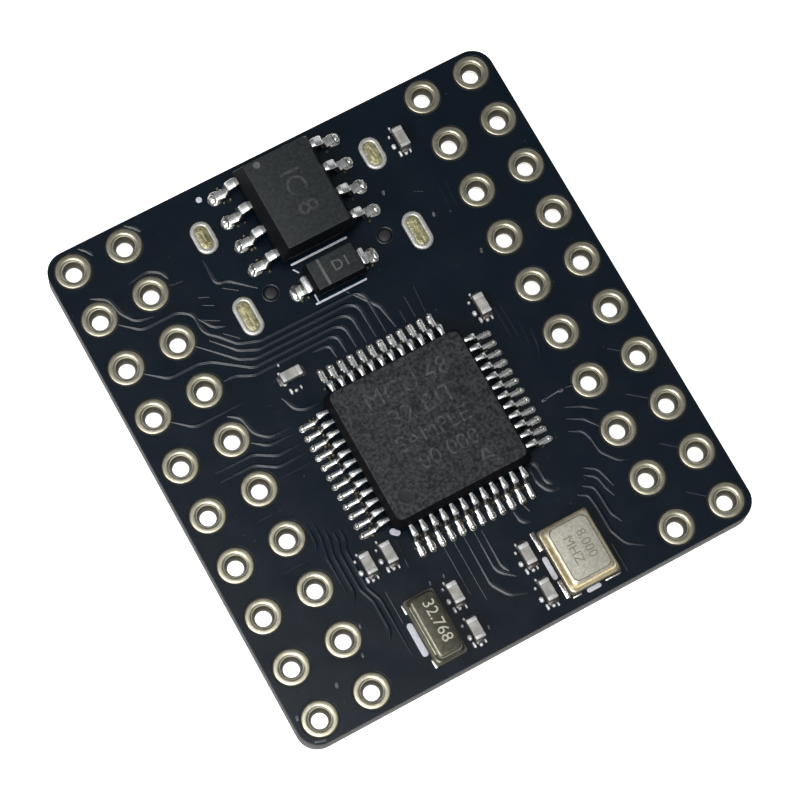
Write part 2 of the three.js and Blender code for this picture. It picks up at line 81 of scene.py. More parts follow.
SOLDER_FILM = 0.02
MARK_LIFT = 0.0005
FLANK_RELIEF = 0.07
CONTROLLER_LEADS = dict(
    count=12, pitch=0.5, root_width=0.21, width=0.28, foot_width=0.23, thickness=0.14, exit=0.8, droop=0.0,
    knee=0.4, drop=0.14, reach=4.6, pad_start=4.2, pad_end=4.84, solder=0.11, bend=0.12)
MEMORY_LEADS = dict(
    count=4, pitch=1.27, root_width=0.44, width=0.46, foot_width=0.49, thickness=0.2, exit=0.84, droop=0.06,
    knee=0.38, drop=0.18, reach=3.0, pad_start=2.62, pad_end=3.36, solder=0.14, bend=0.12)
DIODE_LEADS = dict(
    count=1, pitch=0, root_width=0.84, width=0.84, foot_width=0.56, thickness=0.15, exit=0.6, droop=0.07,
    knee=0.15, drop=0.1, reach=1.9, pad_start=1.6, pad_end=2.2, solder=0.14, bend=0.12)
REGULATOR_LEADS = dict(
    count=3, pitch=0.95, root_width=0.4, width=0.4, foot_width=0.4, thickness=0.15, exit=0.6, droop=0.0,
    knee=0.16, drop=0.12, reach=1.4, pad_start=1.05, pad_end=1.68, solder=0.13, bend=0.12)
REGULATOR_OUTPUT_LEADS = dict(REGULATOR_LEADS, count=2, pitch=1.9)


# -------- places, and those read from the frame
def shift(x, y, z):
    return Matrix.Translation((x, y, z))


def spin(angle):
    """A turn about local Z."""
    return Matrix.Rotation(angle, 4, "Z")


def box_mm(node):
    low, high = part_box(node)
    return low / MM, high / MM


def size_mm(node):
    low, high = box_mm(node)
    return high - low


pcb_low, pcb_high = box_mm("pcb")
TOP = pcb_high.z - PAD_HEIGHT
BOTTOM = pcb_low.z + PAD_HEIGHT
BOARD_WIDTH = pcb_high.x - pcb_low.x
BOARD_LENGTH = pcb_high.y - pcb_low.y


def spot(*nodes, turn=0.0):
    """The place of a part on its face of the board: local +Z points away from the board there."""
    lows, highs = zip(*(box_mm(node) for node in nodes))
    middle = [(min(low[axis] for low in lows) + max(high[axis] for high in highs)) / 2 for axis in (0, 1)]
    upper = sum(low.z for low in lows) / len(lows) > (TOP + BOTTOM) / 2
    return face_spot(*middle, upper, turn)


def face_spot(x, y, upper=True, turn=0.0):
    level = TOP + SOLDER_FILM if upper else BOTTOM - SOLDER_FILM
    over = IDENTITY if upper else TURNED_OVER
    return shift(x, y, level) @ over @ spin(turn)


# -------- outlines and lofts
def arc(cx, cy, radius, start, end, steps):
    angles = [start + (end - start) * step / steps for step in range(steps + 1)]
    return [(cx + radius * math.cos(a), cy + radius * math.sin(a)) for a in angles]


def rounded(width, length, corner, steps=4, centre=(0.0, 0.0)):
    """A rectangle with rounded corners, counter-clockwise."""
    corner = max(min(corner, width / 2 - 1e-4, length / 2 - 1e-4), 1e-4)
    ax, ay = width / 2 - corner, length / 2 - corner
    points = []
    for quarter, (sx, sy) in enumerate(((1, 1), (-1, 1), (-1, -1), (1, -1))):
        start = quarter * math.pi / 2
        points += arc(centre[0] + sx * ax, centre[1] + sy * ay, corner, start, start + math.pi / 2, steps)
    return points


def circle(radius, sides=32, centre=(0.0, 0.0)):
    return arc(centre[0], centre[1], radius, 0, 2 * math.pi, sides)[:-1]


def lifted(outline, z):
    return [Vector((x, y, z)) for x, y in outline]


def loft(rings, caps=True, closed=False):
    """A skin over rings of equal length; closed joins the last ring to the first."""
    verts = [point for ring in rings for point in ring]
    n = len(rings[0])
    faces = []
    spans = len(rings) if closed else len(rings) - 1
    for level in range(spans):
        a, b = level * n, ((level + 1) % len(rings)) * n
        for i in range(n):
            j = (i + 1) % n
            faces.append((a + i, a + j, b + j, b + i))
    if caps and not closed:
        faces.append(tuple(reversed(range(n))))
        faces.append(tuple(range(len(verts) - n, len(verts))))
    return verts, faces


def stack(sections, steps=4, centre=(0.0, 0.0)):
    """A solid through rounded rectangles given as (width, length, corner, height)."""
    return loft([lifted(rounded(w, l, c, steps, centre), z) for w, l, c, z in sections])


def slab(width, length, corner, low, high, edge=0.03, steps=4, centre=(0.0, 0.0)):
    """A block whose upper and lower edges are rounded by edge."""
    lower = []
    for turn in range(BLOCK_EDGE_STEPS + 1):
        a = turn / BLOCK_EDGE_STEPS * math.pi / 2
        inset = 2 * edge * (1 - math.sin(a))
        rise = edge * (1 - math.cos(a))
        lower.append((width - inset, length - inset, max(corner - inset / 2, 0.01), low + rise))
    upper = [(w, l, c, low + high - z) for w, l, c, z in reversed(lower)]
    return stack(lower + upper, steps, centre)


def revolve(profile, sides=32, centre=(0.0, 0.0), closed=False):
    rings = [lifted(circle(max(radius, 1e-3), sides, centre), z) for radius, z in profile]
    return loft(rings, caps=not closed, closed=closed)


def filleted(points, radius, steps=4):
    """A polyline whose inner corners are rounded."""
    points = [Vector(p) for p in points]
    path = [points[0]]
    for before, here, after in zip(points, points[1:], points[2:]):
        to_before, to_after = before - here, after - here
        half = to_before.angle(to_after, math.pi) / 2
        if half > math.pi / 2 - 0.02:
            path.append(here)
            continue
        reach = min(radius / math.tan(half), to_before.length * 0.49, to_after.length * 0.49)
        a = here + to_before.normalized() * reach
        b = here + to_after.normalized() * reach
        for step in range(steps + 1):
            t = step / steps
            path.append(a * (1 - t) ** 2 + here * 2 * t * (1 - t) + b * t ** 2)
    path.append(points[-1])
    return path


def upright(point, along, across, out, scale):
    """A section's point on a path whose (x, y) stand for x and z."""
    return Vector((point.x - along.y * out * scale, across * scale, point.y + along.x * out * scale))


def lying(point, along, across, out, scale):
    """A section's point on a path that lies flat; only what stands proud is scaled in height."""
    height = out * (scale if out > 0 else 1)
    return Vector((point.x + along.y * across * scale, point.y - along.x * across * scale, height))


def sweep(path, section, placed=upright, end_scale=1.0):
    """A closed section of (across, out) points run along a path that lies in one plane."""
    rings = []
    for index, point in enumerate(path):
        ahead = path[min(index + 1, len(path) - 1)]
        behind = path[max(index - 1, 0)]
        along = (ahead - behind).normalized()
        scale = end_scale if index in (0, len(path) - 1) else 1.0
        rings.append([placed(point, along, across, out, scale) for across, out in section])
    return loft(rings)


def moved(shell, matrix):
    verts, faces = shell
    return [matrix @ Vector(v) for v in verts], faces


def merged(shells):
    verts, faces = [], []
    for shell_verts, shell_faces in shells:
        offset = len(verts)
        verts += shell_verts
        faces += [tuple(index + offset for index in face) for face in shell_faces]
    return verts, faces


# -------- finishes
FINISHES = {}
GLOSS_PATCH = 0.6
DUST_SIZE = 0.22
DUST_ABOVE = 0.79
DUST_EDGE = 0.02
FLANK_SHADE = 0.7
FLANK_EDGE = 0.08
# On edge a face loses its sheen: specular level at the flank and on the flat, and where it changes.
FLANK_SHEEN = 0.08
FLAT_SHEEN = 0.5
SHEEN_FROM = 0.78
SHEEN_EDGE = 0.06


def add_range(tree, value, from_span, to_span):
    """A node that carries a value from one span to another, held at its ends."""
    spanned = tree.nodes.new("ShaderNodeMapRange")
    for label, ends in (("From", from_span), ("To", to_span)):
        spanned.inputs[label + " Min"].default_value = ends[0]
        spanned.inputs[label + " Max"].default_value = ends[1]
    tree.links.new(value, spanned.inputs["Value"])
    return spanned.outputs["Result"]


def add_split(tree, vector):
    """A node that gives a vector's separate axes."""
    split = tree.nodes.new("ShaderNodeSeparateXYZ")
    tree.links.new(vector, split.inputs["Vector"])
    return split.outputs


def finish(name, colour, shade=None, roughness=0.5, spread=0.08, metallic=0.0, patch=0.2, grain=0.06,
           depth=0.003, ior=1.5, transmission=0.0, contrast=0.25, flank=None, flank_from=0.8, dust=None,
           layers=1.0):
    """A node material: two tones mixed in patches, a fine grain in relief, and uneven gloss.

    flank is the colour of faces that stand on edge, on most finishes darker than the face: painted shade on
    sides and edges; dust is the colour of rare small specks, and layers above 1 flattens the patches into
    strata.
    """
    material = bpy.data.materials.new(name)
    material.use_nodes = True
    tree = material.node_tree
    nodes, links = tree.nodes, tree.links
    shader = nodes["Principled BSDF"]
    shader.inputs["Metallic"].default_value = metallic
    shader.inputs["IOR"].default_value = ior
    shader.inputs["Transmission Weight"].default_value = transmission
    place = nodes.new("ShaderNodeTexCoord")
    scaled = nodes.new("ShaderNodeMapping")
    scaled.inputs["Scale"].default_value = (1 / MM, 1 / MM, layers / MM)
    links.new(place.outputs["Object"], scaled.inputs["Vector"])

    def noise(size, detail):
        texture = nodes.new("ShaderNodeTexNoise")
        texture.inputs["Scale"].default_value = 1 / size
        texture.inputs["Detail"].default_value = detail
        links.new(scaled.outputs["Vector"], texture.inputs["Vector"])
        return texture.outputs["Fac"]

    def ranged(value, low, high, centre=0.5, half=contrast):
        return add_range(tree, value, (centre - half, centre + half), (low, high))

    def mixed(factor, first, second):
        mix = nodes.new("ShaderNodeMix")
        mix.data_type = "RGBA"
        for socket, tone in (("A", first), ("B", second)):
            if isinstance(tone, tuple):
                mix.inputs[socket].default_value = (*tone, 1)
            else:
                links.new(tone, mix.inputs[socket])
        links.new(factor, mix.inputs["Factor"])
        return mix.outputs["Result"]

    blotches = ranged(noise(patch, 4), 0, 1)
    colour_so_far = mixed(blotches, colour, shade or tuple(c * 0.75 for c in colour))
    if dust:
        specks = ranged(noise(DUST_SIZE, 1), 0, 1, DUST_ABOVE, DUST_EDGE)
        colour_so_far = mixed(specks, colour_so_far, dust)
    # Steep faces take the flank colour; where it is darker than the face, it is painted shade on the sides.
    if flank:
        steep = nodes.new("ShaderNodeMath")
        steep.operation = "ABSOLUTE"
        links.new(add_split(tree, place.outputs["Normal"])["Z"], steep.inputs[0])
        level = steep.outputs["Value"]
        side_tone = mixed(blotches, flank, tuple(c * FLANK_SHADE for c in flank))
        colour_so_far = mixed(ranged(level, 1, 0, flank_from, FLANK_EDGE), colour_so_far, side_tone)
        sheen = ranged(level, FLANK_SHEEN, FLAT_SHEEN, SHEEN_FROM, SHEEN_EDGE)
        links.new(sheen, shader.inputs["Specular IOR Level"])
    links.new(colour_so_far, shader.inputs["Base Color"])
    gloss = ranged(noise(patch * GLOSS_PATCH, 3), roughness - spread, roughness + spread)
    links.new(gloss, shader.inputs["Roughness"])
    relief = nodes.new("ShaderNodeBump")
    relief.inputs["Strength"].default_value = 1.0
    relief.inputs["Distance"].default_value = depth * MM
    links.new(noise(grain, 3), relief.inputs["Height"])
    links.new(relief.outputs["Normal"], shader.inputs["Normal"])
    FINISHES[name] = material


# The mask's flank colour is painted shade on its rounded edges.
finish("mask", (0.0008, 0.0058, 0.0128), (0.0004, 0.0045, 0.0102), 0.26, 0.04, patch=2.5, grain=0.35,
       depth=0.0012, ior=1.4, flank=(0.0005, 0.002, 0.004), dust=(0.03, 0.036, 0.042))
finish("trace_mask", (0.0035, 0.0092, 0.0170), (0.0025, 0.0072, 0.0138), 0.26, 0.03, patch=1.5, grain=0.3,
       depth=0.001, ior=1.59)
finish("laminate", (0.004, 0.004, 0.004), None, 0.6, 0.1, patch=0.5, grain=0.05, depth=0.006,
       flank=(0.07, 0.07, 0.068), layers=5)
finish("plating", (0.60, 0.565, 0.435), (0.47, 0.445, 0.335), 0.31, 0.04, 1.0, patch=0.3, grain=0.12,
       depth=0.0005)
# Painted shade: a dark brown for the upper wall of each plated hole, which lies in shadow.
finish("throat_painted_shade", (0.062, 0.054, 0.034), (0.028, 0.024, 0.015), 0.5, 0.08, 0.2, patch=0.25, grain=0.05)
finish("barrel", (0.97, 0.96, 0.93), (0.93, 0.92, 0.89), 0.3, 0.05, 1.0, patch=0.3, depth=0.001)
finish("ink", (0.60, 0.60, 0.66), (0.50, 0.50, 0.55), 0.55, 0.08, patch=0.12, grain=0.04)
finish("worn_ink", (0.14, 0.145, 0.16), (0.04, 0.044, 0.052), 0.6, 0.08, grain=0.04, contrast=0.15)
# The flank colours of both epoxies are near-black: painted shade on the package sides.
finish("epoxy", (0.038, 0.040, 0.043), (0.005, 0.0055, 0.007), 0.6, 0.1, patch=0.14, grain=0.08, depth=0.012,
       ior=1.36, contrast=0.13, flank=(0.004, 0.004, 0.005))
finish("smooth_epoxy", (0.023, 0.027, 0.029), (0.009, 0.012, 0.013), 0.45, 0.08, patch=0.17, grain=0.1,
       depth=0.007, ior=1.42, contrast=0.15, flank=(0.003, 0.004, 0.005))
finish("etch", (0.068, 0.069, 0.071), (0.010, 0.010, 0.011), 0.65, 0.05, patch=0.22, grain=0.04, depth=0.004,
       contrast=0.12)
finish("faint_etch", (0.052, 0.054, 0.054), (0.022, 0.024, 0.024), 0.6, 0.05, patch=0.12, grain=0.04,
       contrast=0.12)
finish("flux", (0.15, 0.13, 0.08), (0.06, 0.052, 0.03), 0.3, 0.08, 0.6, patch=0.1, depth=0.006)
finish("dimple", (0.012, 0.013, 0.016), None, 0.35, 0.06, grain=0.05, depth=0.002)
finish("band", (0.13, 0.13, 0.125), (0.075, 0.075, 0.072), 0.6, 0.08, patch=0.15, grain=0.05)
# The lead's flank colour is painted shade on the steep legs and sides, between the bright shoulder and foot.
finish("lead", (0.90, 0.91, 0.91), (0.78, 0.79, 0.78), 0.28, 0.06, 0.98, patch=0.3, grain=0.12, depth=0.0006,
       flank=(0.16, 0.155, 0.145), flank_from=0.33)
finish("solder", (0.90, 0.90, 0.87), (0.60, 0.58, 0.52), 0.22, 0.07, 1.0, patch=0.18, grain=0.14,
       depth=0.0035)
# Painted highlight: the stray solder beads are real, but their near-white, mostly matte colour paints their
# glint.
finish("bright_solder", (0.96, 0.96, 0.97), (0.80, 0.80, 0.80), 0.34, 0.06, 0.35, patch=0.14, grain=0.1,
       depth=0.004)
# Painted shade: the solder at the chips' ends, painted dark where it mirrors its dark surroundings.
finish("pad_solder", (0.16, 0.155, 0.15), (0.08, 0.08, 0.075), 0.3, 0.08, 0.8, patch=0.12, grain=0.08,
       depth=0.006)
finish("leg_solder", (0.50, 0.47, 0.28), (0.23, 0.21, 0.10), 0.38, 0.1, 0.5, grain=0.12, depth=0.03,
       contrast=0.18)
finish("slot_ring", (0.62, 0.62, 0.59), (0.48, 0.48, 0.45), 0.36, 0.08, 0.6)
finish("crystal_tray", (0.09, 0.085, 0.06), (0.05, 0.048, 0.03), 0.45, 0.08, patch=0.3, depth=0.004)
finish("lid", (0.60, 0.575, 0.50), (0.46, 0.435, 0.37), 0.36, 0.06, 0.7, patch=0.11, depth=0.005,
       contrast=0.12, flank=(0.74, 0.62, 0.36))
finish("dark_lid", (0.148, 0.141, 0.108), (0.090, 0.086, 0.062), 0.22, 0.05, 0.75, patch=0.3, grain=0.08,
       depth=0.0015)
# Painted highlight: bright metal for the strips along the watch crystal's lit edge.
finish("painted_highlight_metal", (0.70, 0.67, 0.50), (0.30, 0.28, 0.18), 0.35, 0.08, 0.3, grain=0.08)
finish("rim_line", (0.16, 0.12, 0.05), (0.1, 0.075, 0.03), 0.5, 0.05, 0.5, patch=0.3, grain=0.05, depth=0.002)
finish("lid_mark", (0.17, 0.15, 0.12), (0.28, 0.25, 0.2), 0.6, 0.05, patch=0.1, grain=0.04, depth=0.002)
finish("pale_mark", (0.56, 0.54, 0.46), (0.36, 0.34, 0.28), 0.5, 0.05, patch=0.1, grain=0.04, depth=0.002)
# The flank colours of the chips' bodies and end caps are painted shade on their sides.
finish("ceramic", (0.42, 0.41, 0.385), (0.25, 0.24, 0.22), 0.45, 0.08, patch=0.4, grain=0.05, depth=0.002,
       contrast=0.2, flank=(0.12, 0.11, 0.1))
finish("chip_end", (0.62, 0.62, 0.62), (0.42, 0.42, 0.41), 0.35, 0.08, 0.35, patch=0.12, depth=0.004,
       flank=(0.16, 0.155, 0.145))
finish("resistor", (0.02, 0.02, 0.024), (0.012, 0.012, 0.014), 0.35, 0.06, grain=0.05, depth=0.002)
finish("steel", (0.50, 0.50, 0.52), (0.44, 0.44, 0.46), 0.3, 0.04, 1.0, patch=1.2, grain=0.1, depth=0.0008)
finish("black_plastic", (0.018, 0.018, 0.02), (0.012, 0.012, 0.013), 0.5, 0.08, patch=0.3)
finish("contact", (0.9, 0.7, 0.32), (0.75, 0.56, 0.24), 0.25, 0.05, 1.0, patch=0.3, depth=0.001)
finish("plunger", (0.035, 0.035, 0.038), (0.024, 0.024, 0.026), 0.42, 0.08, patch=0.3, grain=0.05)
finish("light_base", (0.8, 0.77, 0.66), (0.68, 0.66, 0.56), 0.5, 0.08, grain=0.05, depth=0.002)
finish("light_lens", (0.86, 0.86, 0.74), (0.8, 0.8, 0.66), 0.14, 0.04, patch=0.4, grain=0.08, depth=0.0015,
       transmission=0.35)


# -------- pieces
def add_piece(name, shells, material, replaced=(), body=BODY, sharp=38.0):
    """A piece made of one or more shells, in millimetres; replaced lists the CAD nodes it stands for."""
    verts, faces = merged(shells)
    mesh = bpy.data.meshes.new(name)
    mesh.from_pydata([Vector(v) * MM for v in verts], [], faces)
    mesh.update()
    dress(bpy.data.objects.new(name, mesh), material, replaced, body, sharp)


def dress(piece, material, replaced=(), body=BODY, sharp=38.0):
    """Give a piece its finish, its body and the nodes it replaces; edges over sharp stay crisp."""
    mesh = piece.data
    mesh.materials.clear()
    mesh.materials.append(FINISHES[material])
    mesh.shade_smooth()
    mesh.set_sharp_from_angle(angle=math.radians(sharp))
    bpy.context.scene.collection.objects.link(piece)
    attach(piece, body)
    if replaced:
        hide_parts(*replaced)


def curve_mesh(name, curve):
    """The mesh that a curve or text object makes, with the object itself removed again."""
    maker = bpy.data.objects.new(name + "_curve", curve)
    bpy.context.scene.collection.objects.link(maker)
    bpy.context.view_layer.update()
    made = bpy.data.meshes.new_from_object(maker.evaluated_get(bpy.context.evaluated_depsgraph_get()))
    bpy.data.objects.remove(maker)
    bpy.data.curves.remove(curve)
    made.name = name
    return made


def plate(name, outline, holes, low, high, edge, material, replaced=()):
    """A flat plate with holes, its upper and lower edges rounded by edge."""
    curve = bpy.data.curves.new(name, "CURVE")
    curve.dimensions = "2D"
    curve.fill_mode = "BOTH"
    curve.extrude = (high - low) / 2 * MM - edge * MM
    curve.bevel_depth = edge * MM
    curve.bevel_resolution = 1
    curve.offset = -edge * MM
    for loop in (outline, *holes):
        spline = curve.splines.new("POLY")
        spline.points.add(len(loop) - 1)
        for point, (x, y) in zip(spline.points, loop):
            point.co = (x * MM, y * MM, 0, 1)
        spline.use_cyclic_u = True
    mesh = curve_mesh(name, curve)
    mesh.transform(shift(0, 0, (low + high) / 2 * MM))
    dress(bpy.data.objects.new(name, mesh), material, replaced)


def lettering(name, text, height, matrix, material, thickness=0.012):
    """Generic lettering as thin raised strokes, centred on the matrix's origin."""
    curve = bpy.data.curves.new(name, "FONT")
    curve.body = text
    curve.size = height * MM
    curve.align_x = "CENTER"
    curve.align_y = "CENTER"
    curve.extrude = thickness / 2 * MM
    curve.resolution_u = 3
    mesh = curve_mesh(name, curve)
    in_metres = matrix.copy()
    in_metres.translation = matrix.translation * MM
    mesh.transform(in_metres)
    dress(bpy.data.objects.new(name, mesh), material)


# -------- the bare board
HOLE_PLACES = {
    row: [(row * PIN_PITCH, ((PINS_PER_ROW - 1) / 2 - pin) * PIN_PITCH) for pin in range(PINS_PER_ROW)]
    for row in ROW_NAMES
}
LEG_SOLDER_NODES = [f"usb_leg_solder_{end}_{side}" for end in ("front", "rear") for side in ("left", "right")]
PEG_HOLE = 0.325
PEG_SIDES = 24
PEG_RIM_SIDES = 28
PEG_PLACES = [(side * 2.89, 6.43) for side in (-1, 1)]


def plan_of(node):
    """A node's width, length and middle, seen from above."""
    low, high = box_mm(node)
    return high.x - low.x, high.y - low.y, ((low.x + high.x) / 2, (low.y + high.y) / 2)


def slot_outline(node, inset, steps):
    width, length, middle = plan_of(node)
    return rounded(width - 2 * inset, length - 2 * inset, (width - 2 * inset) / 2, steps, middle)


def board_outline(inset=0.0):
    return rounded(BOARD_WIDTH - 2 * inset, BOARD_LENGTH - 2 * inset, BOARD_CORNER - inset, 8)


def board_openings(hole_radius, slot_inset):
    openings = [circle(hole_radius, HOLE_SIDES, place) for row in HOLE_PLACES.values() for place in row]
    openings += [circle(PEG_HOLE, PEG_SIDES, place) for place in PEG_PLACES]
    return openings + [slot_outline(node, slot_inset, 8) for node in LEG_SOLDER_NODES]


def build_board():
    core = board_openings(HOLE_RADIUS + PLATING_GAP, CORE_SLOT_INSET)
    masked = board_openings(MASK_OPENING, MASK_SLOT_INSET)
    plate("board_laminate", board_outline(), core, BOTTOM + MASK_THICKNESS, TOP - MASK_THICKNESS,
          LAMINATE_EDGE, "laminate", ["pcb"])
    for name, low in (("upper_mask", TOP - MASK_THICKNESS), ("lower_mask", BOTTOM)):
        plate(name, board_outline(MASK_SETBACK), masked, low, low + MASK_THICKNESS, MASK_EDGE,
              "mask")
    plated_parts = (
        ("pads", both_faces(PAD_CROWN), PAD_SIDES, "plating"),
        # The throats' finish is painted shade on the holes' upper walls.
        ("throats", both_faces(THROAT)[:1], HOLE_SIDES, "throat_painted_shade"),
        ("barrels", [barrel_profile()], HOLE_SIDES, "barrel"),
    )
    for row, places in HOLE_PLACES.items():
        for part, profiles, sides, material in plated_parts:
            rings = [revolve(profile, sides, place, closed=True) for place in places for profile in profiles]
            add_piece(f"plated_{part}_{ROW_NAMES[row]}", rings, material, sharp=70)


# (radius, height above the mask): the pad's crown with its rounded inner rim, and the throat below it.
PAD_CROWN = (
    (HOLE_RADIUS, -PLATING_DEPTH), (0.503, -0.07), (0.512, -0.015), (0.53, 0.02), (0.56, 0.041), (0.6, 0.049),
    (0.65, 0.05), (0.76, 0.049), (0.785, 0.044), (0.797, 0.03), (PAD_RADIUS, 0.015),
    (PAD_RADIUS, -MASK_THICKNESS), (0.56, -MASK_THICKNESS), (PLATING_BACK, -PLATING_DEPTH))
THROAT = (
    (HOLE_RADIUS, -PLATING_DEPTH), (0.485, -0.19), (0.45, -0.25), (NECK_RADIUS, -NECK_DEPTH),
    (NECK_RADIUS, -NECK_END), (PLATING_BACK, -NECK_END), (PLATING_BACK, -PLATING_DEPTH))


def both_faces(profile):
    """The same profile on the upper face and, turned over, on the lower one."""
    upper = [(radius, TOP + rise) for radius, rise in profile]
    lower = [(radius, BOTTOM - rise) for radius, rise in reversed(profile)]
    return upper, lower


# The barrel's start, as (radius, distance below the neck).
BARREL_FLARE = ((NECK_RADIUS, 0), (0.45, 0.08), (HOLE_RADIUS, 0.2))


def barrel_profile():
    """The bright wall from the end of the neck down to the lower pad."""
    neck = TOP - NECK_END
    foot = BOTTOM + PLATING_DEPTH
    flare = [(radius, neck - down) for radius, down in BARREL_FLARE]
    return flare + [(HOLE_RADIUS, foot), (PLATING_BACK, foot), (PLATING_BACK, neck)]


# -------- traces under the mask
TRACE_WIDTH = 0.19
TRACE_HEIGHT = 0.037
FAINT_TRACE_HEIGHT = 0.018
TRACE_ROOT = 0.01
TRACE_BEND = 0.7
TRACE_BEND_STEPS = 10
TRACE_END_SCALE = 0.3
TRACE_STEPS = 8
FAINT_RIGHT_OF = 4.4
FAINT_LEFT_OF = -5
FAINT_BELOW = -3
# Routes as (x, y) corners.
UPPER_TRACES = [
    [(-1.75, 2.4), (-1.75, 3.12), (-2.6, 3.12)],
    [(-1.25, 2.4), (-1.25, 3.42), (-5.35, 3.42), (-6.1, 3.8), (-6.7, 3.8)],
    [(-0.75, 2.4), (-0.75, 3.74), (-5.2, 3.74), (-6.7, 4.85), (-7.3, 5.05), (-8.7, 5.05), (-9.6, 5.75)],
    [(-0.25, 2.4), (-0.25, 4.06), (-4.9, 4.06), (-5.6, 4.4), (-7.1, 5.9)],
    [(0.25, 2.4), (0.25, 4.38), (-4.6, 4.38), (-5.4, 4.75), (-6.35, 5.75)],
    [(0.75, 2.4), (0.75, 4.7), (-4.3, 4.7), (-5.3, 5.05), (-5.9, 5.75), (-6.4, 6.2), (-6.4, 7.2), (-7.0, 7.6),
     (-8.7, 7.6), (-9.55, 8.3)],
    [(1.25, 2.4), (1.08, 3.6), (0.1, 4.9)],
    [(-6.3, 6.85), (-5.9, 6.25), (-5.4, 6.0)],
    [(-6.2, 6.75), (-5.5, 6.35)],
    [(-5.65, 5.75), (-5.1, 5.2)],
    [(-5.85, 7.35), (-5.4, 7.1)],
    [(-5.85, 7.75), (-5.4, 7.55)],
    [(-4.7, 7.65), (-4.1, 7.2)],
    [(-4.85, 9.2), (-4.85, 7.95), (-4.3, 7.85), (-3.3, 6.9)],
    [(-8.3, 9.75), (-7.3, 9.95), (-6.75, 9.6), (-6.6, 9.15)],
    [(-10.1, 9.95), (-9.4, 9.6), (-9.2, 8.7), (-8.8, 8.1), (-8.0, 7.9)],
    [(-9.5, 12.3), (-9.2, 12.05), (-9.05, 11.7)],
    [(-7.2, 12.3), (-6.85, 12.05), (-6.65, 11.7)],
    [(-6.7, 8.85), (-6.1, 8.75)],
    [(-9.6, 3.25), (-8.75, 2.55), (-6.5, 2.52)],
    [(-9.0, 0.25), (-7.1, 0.25), (-6.2, -0.3), (-5.1, -0.3)],
    [(-9.0, -0.2), (-7.3, -0.2), (-6.4, -0.78), (-5.1, -0.78)],
    [(-7.3, 2.3), (-6.8, 2.0), (-6.65, 1.1), (-6.1, 0.58), (-5.1, 0.58)],
    [(-6.95, 0.75), (-6.3, 0.28), (-5.1, 0.24)],
    [(-6.5, -1.28), (-5.1, -1.28)],
    [(-4.8, 1.9), (-4.5, 1.2), (-4.1, 0.98), (-3.4, 0.95)],
    [(-6.6, -3.4), (-6.6, -4.5), (-6.75, -4.9)],
    [(-6.3, -3.7), (-6.3, -4.5), (-6.5, -5.4), (-6.5, -7.2)],
    [(-6.0, -4.1), (-6.0, -4.7), (-6.2, -5.4), (-6.2, -7.3), (-6.45, -7.7)],
    [(-5.7, -4.4), (-5.7, -4.9), (-5.9, -5.5), (-5.9, -7.3), (-5.65, -8.0), (-5.65, -9.4), (-5.85, -9.9)],
    [(-5.4, -4.4), (-5.4, -5.0), (-5.6, -5.5), (-5.6, -7.4), (-5.33, -8.1), (-5.33, -11.0)],
    [(-5.0, -7.9), (-5.0, -9.5)],
    [(-3.5, -6.1), (-3.58, -7.4)],
    [(-1.8, -7.4), (-1.8, -9.75)],
    [(-1.3, -7.4), (-1.3, -10.3)],
    [(-0.8, -7.4), (-0.8, -9.8), (-0.35, -10.55), (0.4, -10.9)],
    [(-0.3, -7.4), (-0.3, -9.4), (0.35, -10.0)],
    [(0.02, -7.5), (0.02, -9.3), (0.2, -9.65)],
    [(1.65, -7.4), (1.75, -8.0), (2.1, -8.2)],
    [(2.2, -7.4), (2.3, -7.75)],
    [(3.25, -6.0), (3.25, -6.8), (3.5, -7.35), (4.0, -7.5)],
    [(3.42, -5.8), (3.6, -6.1), (3.6, -6.9), (3.8, -7.15)],
    [(4.5, -8.1), (4.95, -8.3), (5.02, -9.0), (5.02, -10.2), (5.3, -10.95), (5.95, -11.45)],
    [(4.9, -7.85), (5.35, -8.1), (5.4, -8.6), (5.42, -9.5), (5.65, -10.05)],
    [(5.2, -7.45), (5.7, -7.75), (5.8, -8.4), (5.95, -8.9)],
    [(5.35, -7.15), (5.9, -7.45), (6.05, -8.0), (6.15, -8.5)],
    [(5.6, -5.4), (6.2, -5.65), (6.35, -6.2), (6.4, -6.9), (6.9, -7.55), (7.3, -7.75)],
    [(5.8, -4.85), (6.5, -5.2), (6.95, -5.85)],
    [(6.0, -4.35), (6.7, -4.65), (7.3, -5.15)],
    [(8.7, -5.1), (9.5, -5.75)],
    [(8.9, -7.8), (9.55, -8.35)],
    [(8.8, -10.25), (9.5, -10.85)],
    [(9.05, -2.9), (9.55, -3.3)],
    [(4.75, -10.7), (4.75, -12.1)],
    [(5.55, 1.2), (5.55, -0.4)],
    [(5.85, 1.2), (5.85, -0.5)],
    [(6.2, 0.1), (6.1, -1.2)],
    [(6.5, -0.4), (6.45, -1.3), (6.2, -1.9)],
    [(2.25, 2.4), (2.25, 3.5)],
    [(2.75, 2.4), (2.85, 3.7)],
    [(1.75, 2.4), (1.75, 3.0)],
    [(6.2, 7.4), (6.1, 6.3)],
    [(6.55, 7.4), (6.45, 6.1)],
    [(5.05, 7.65), (5.45, 7.45)],
    [(6.9, -3.62), (6.2, -3.62)],
    [(-8.4, -2.54), (-7.1, -2.54)],
    [(-8.5, -5.08), (-7.1, -5.08)],
]
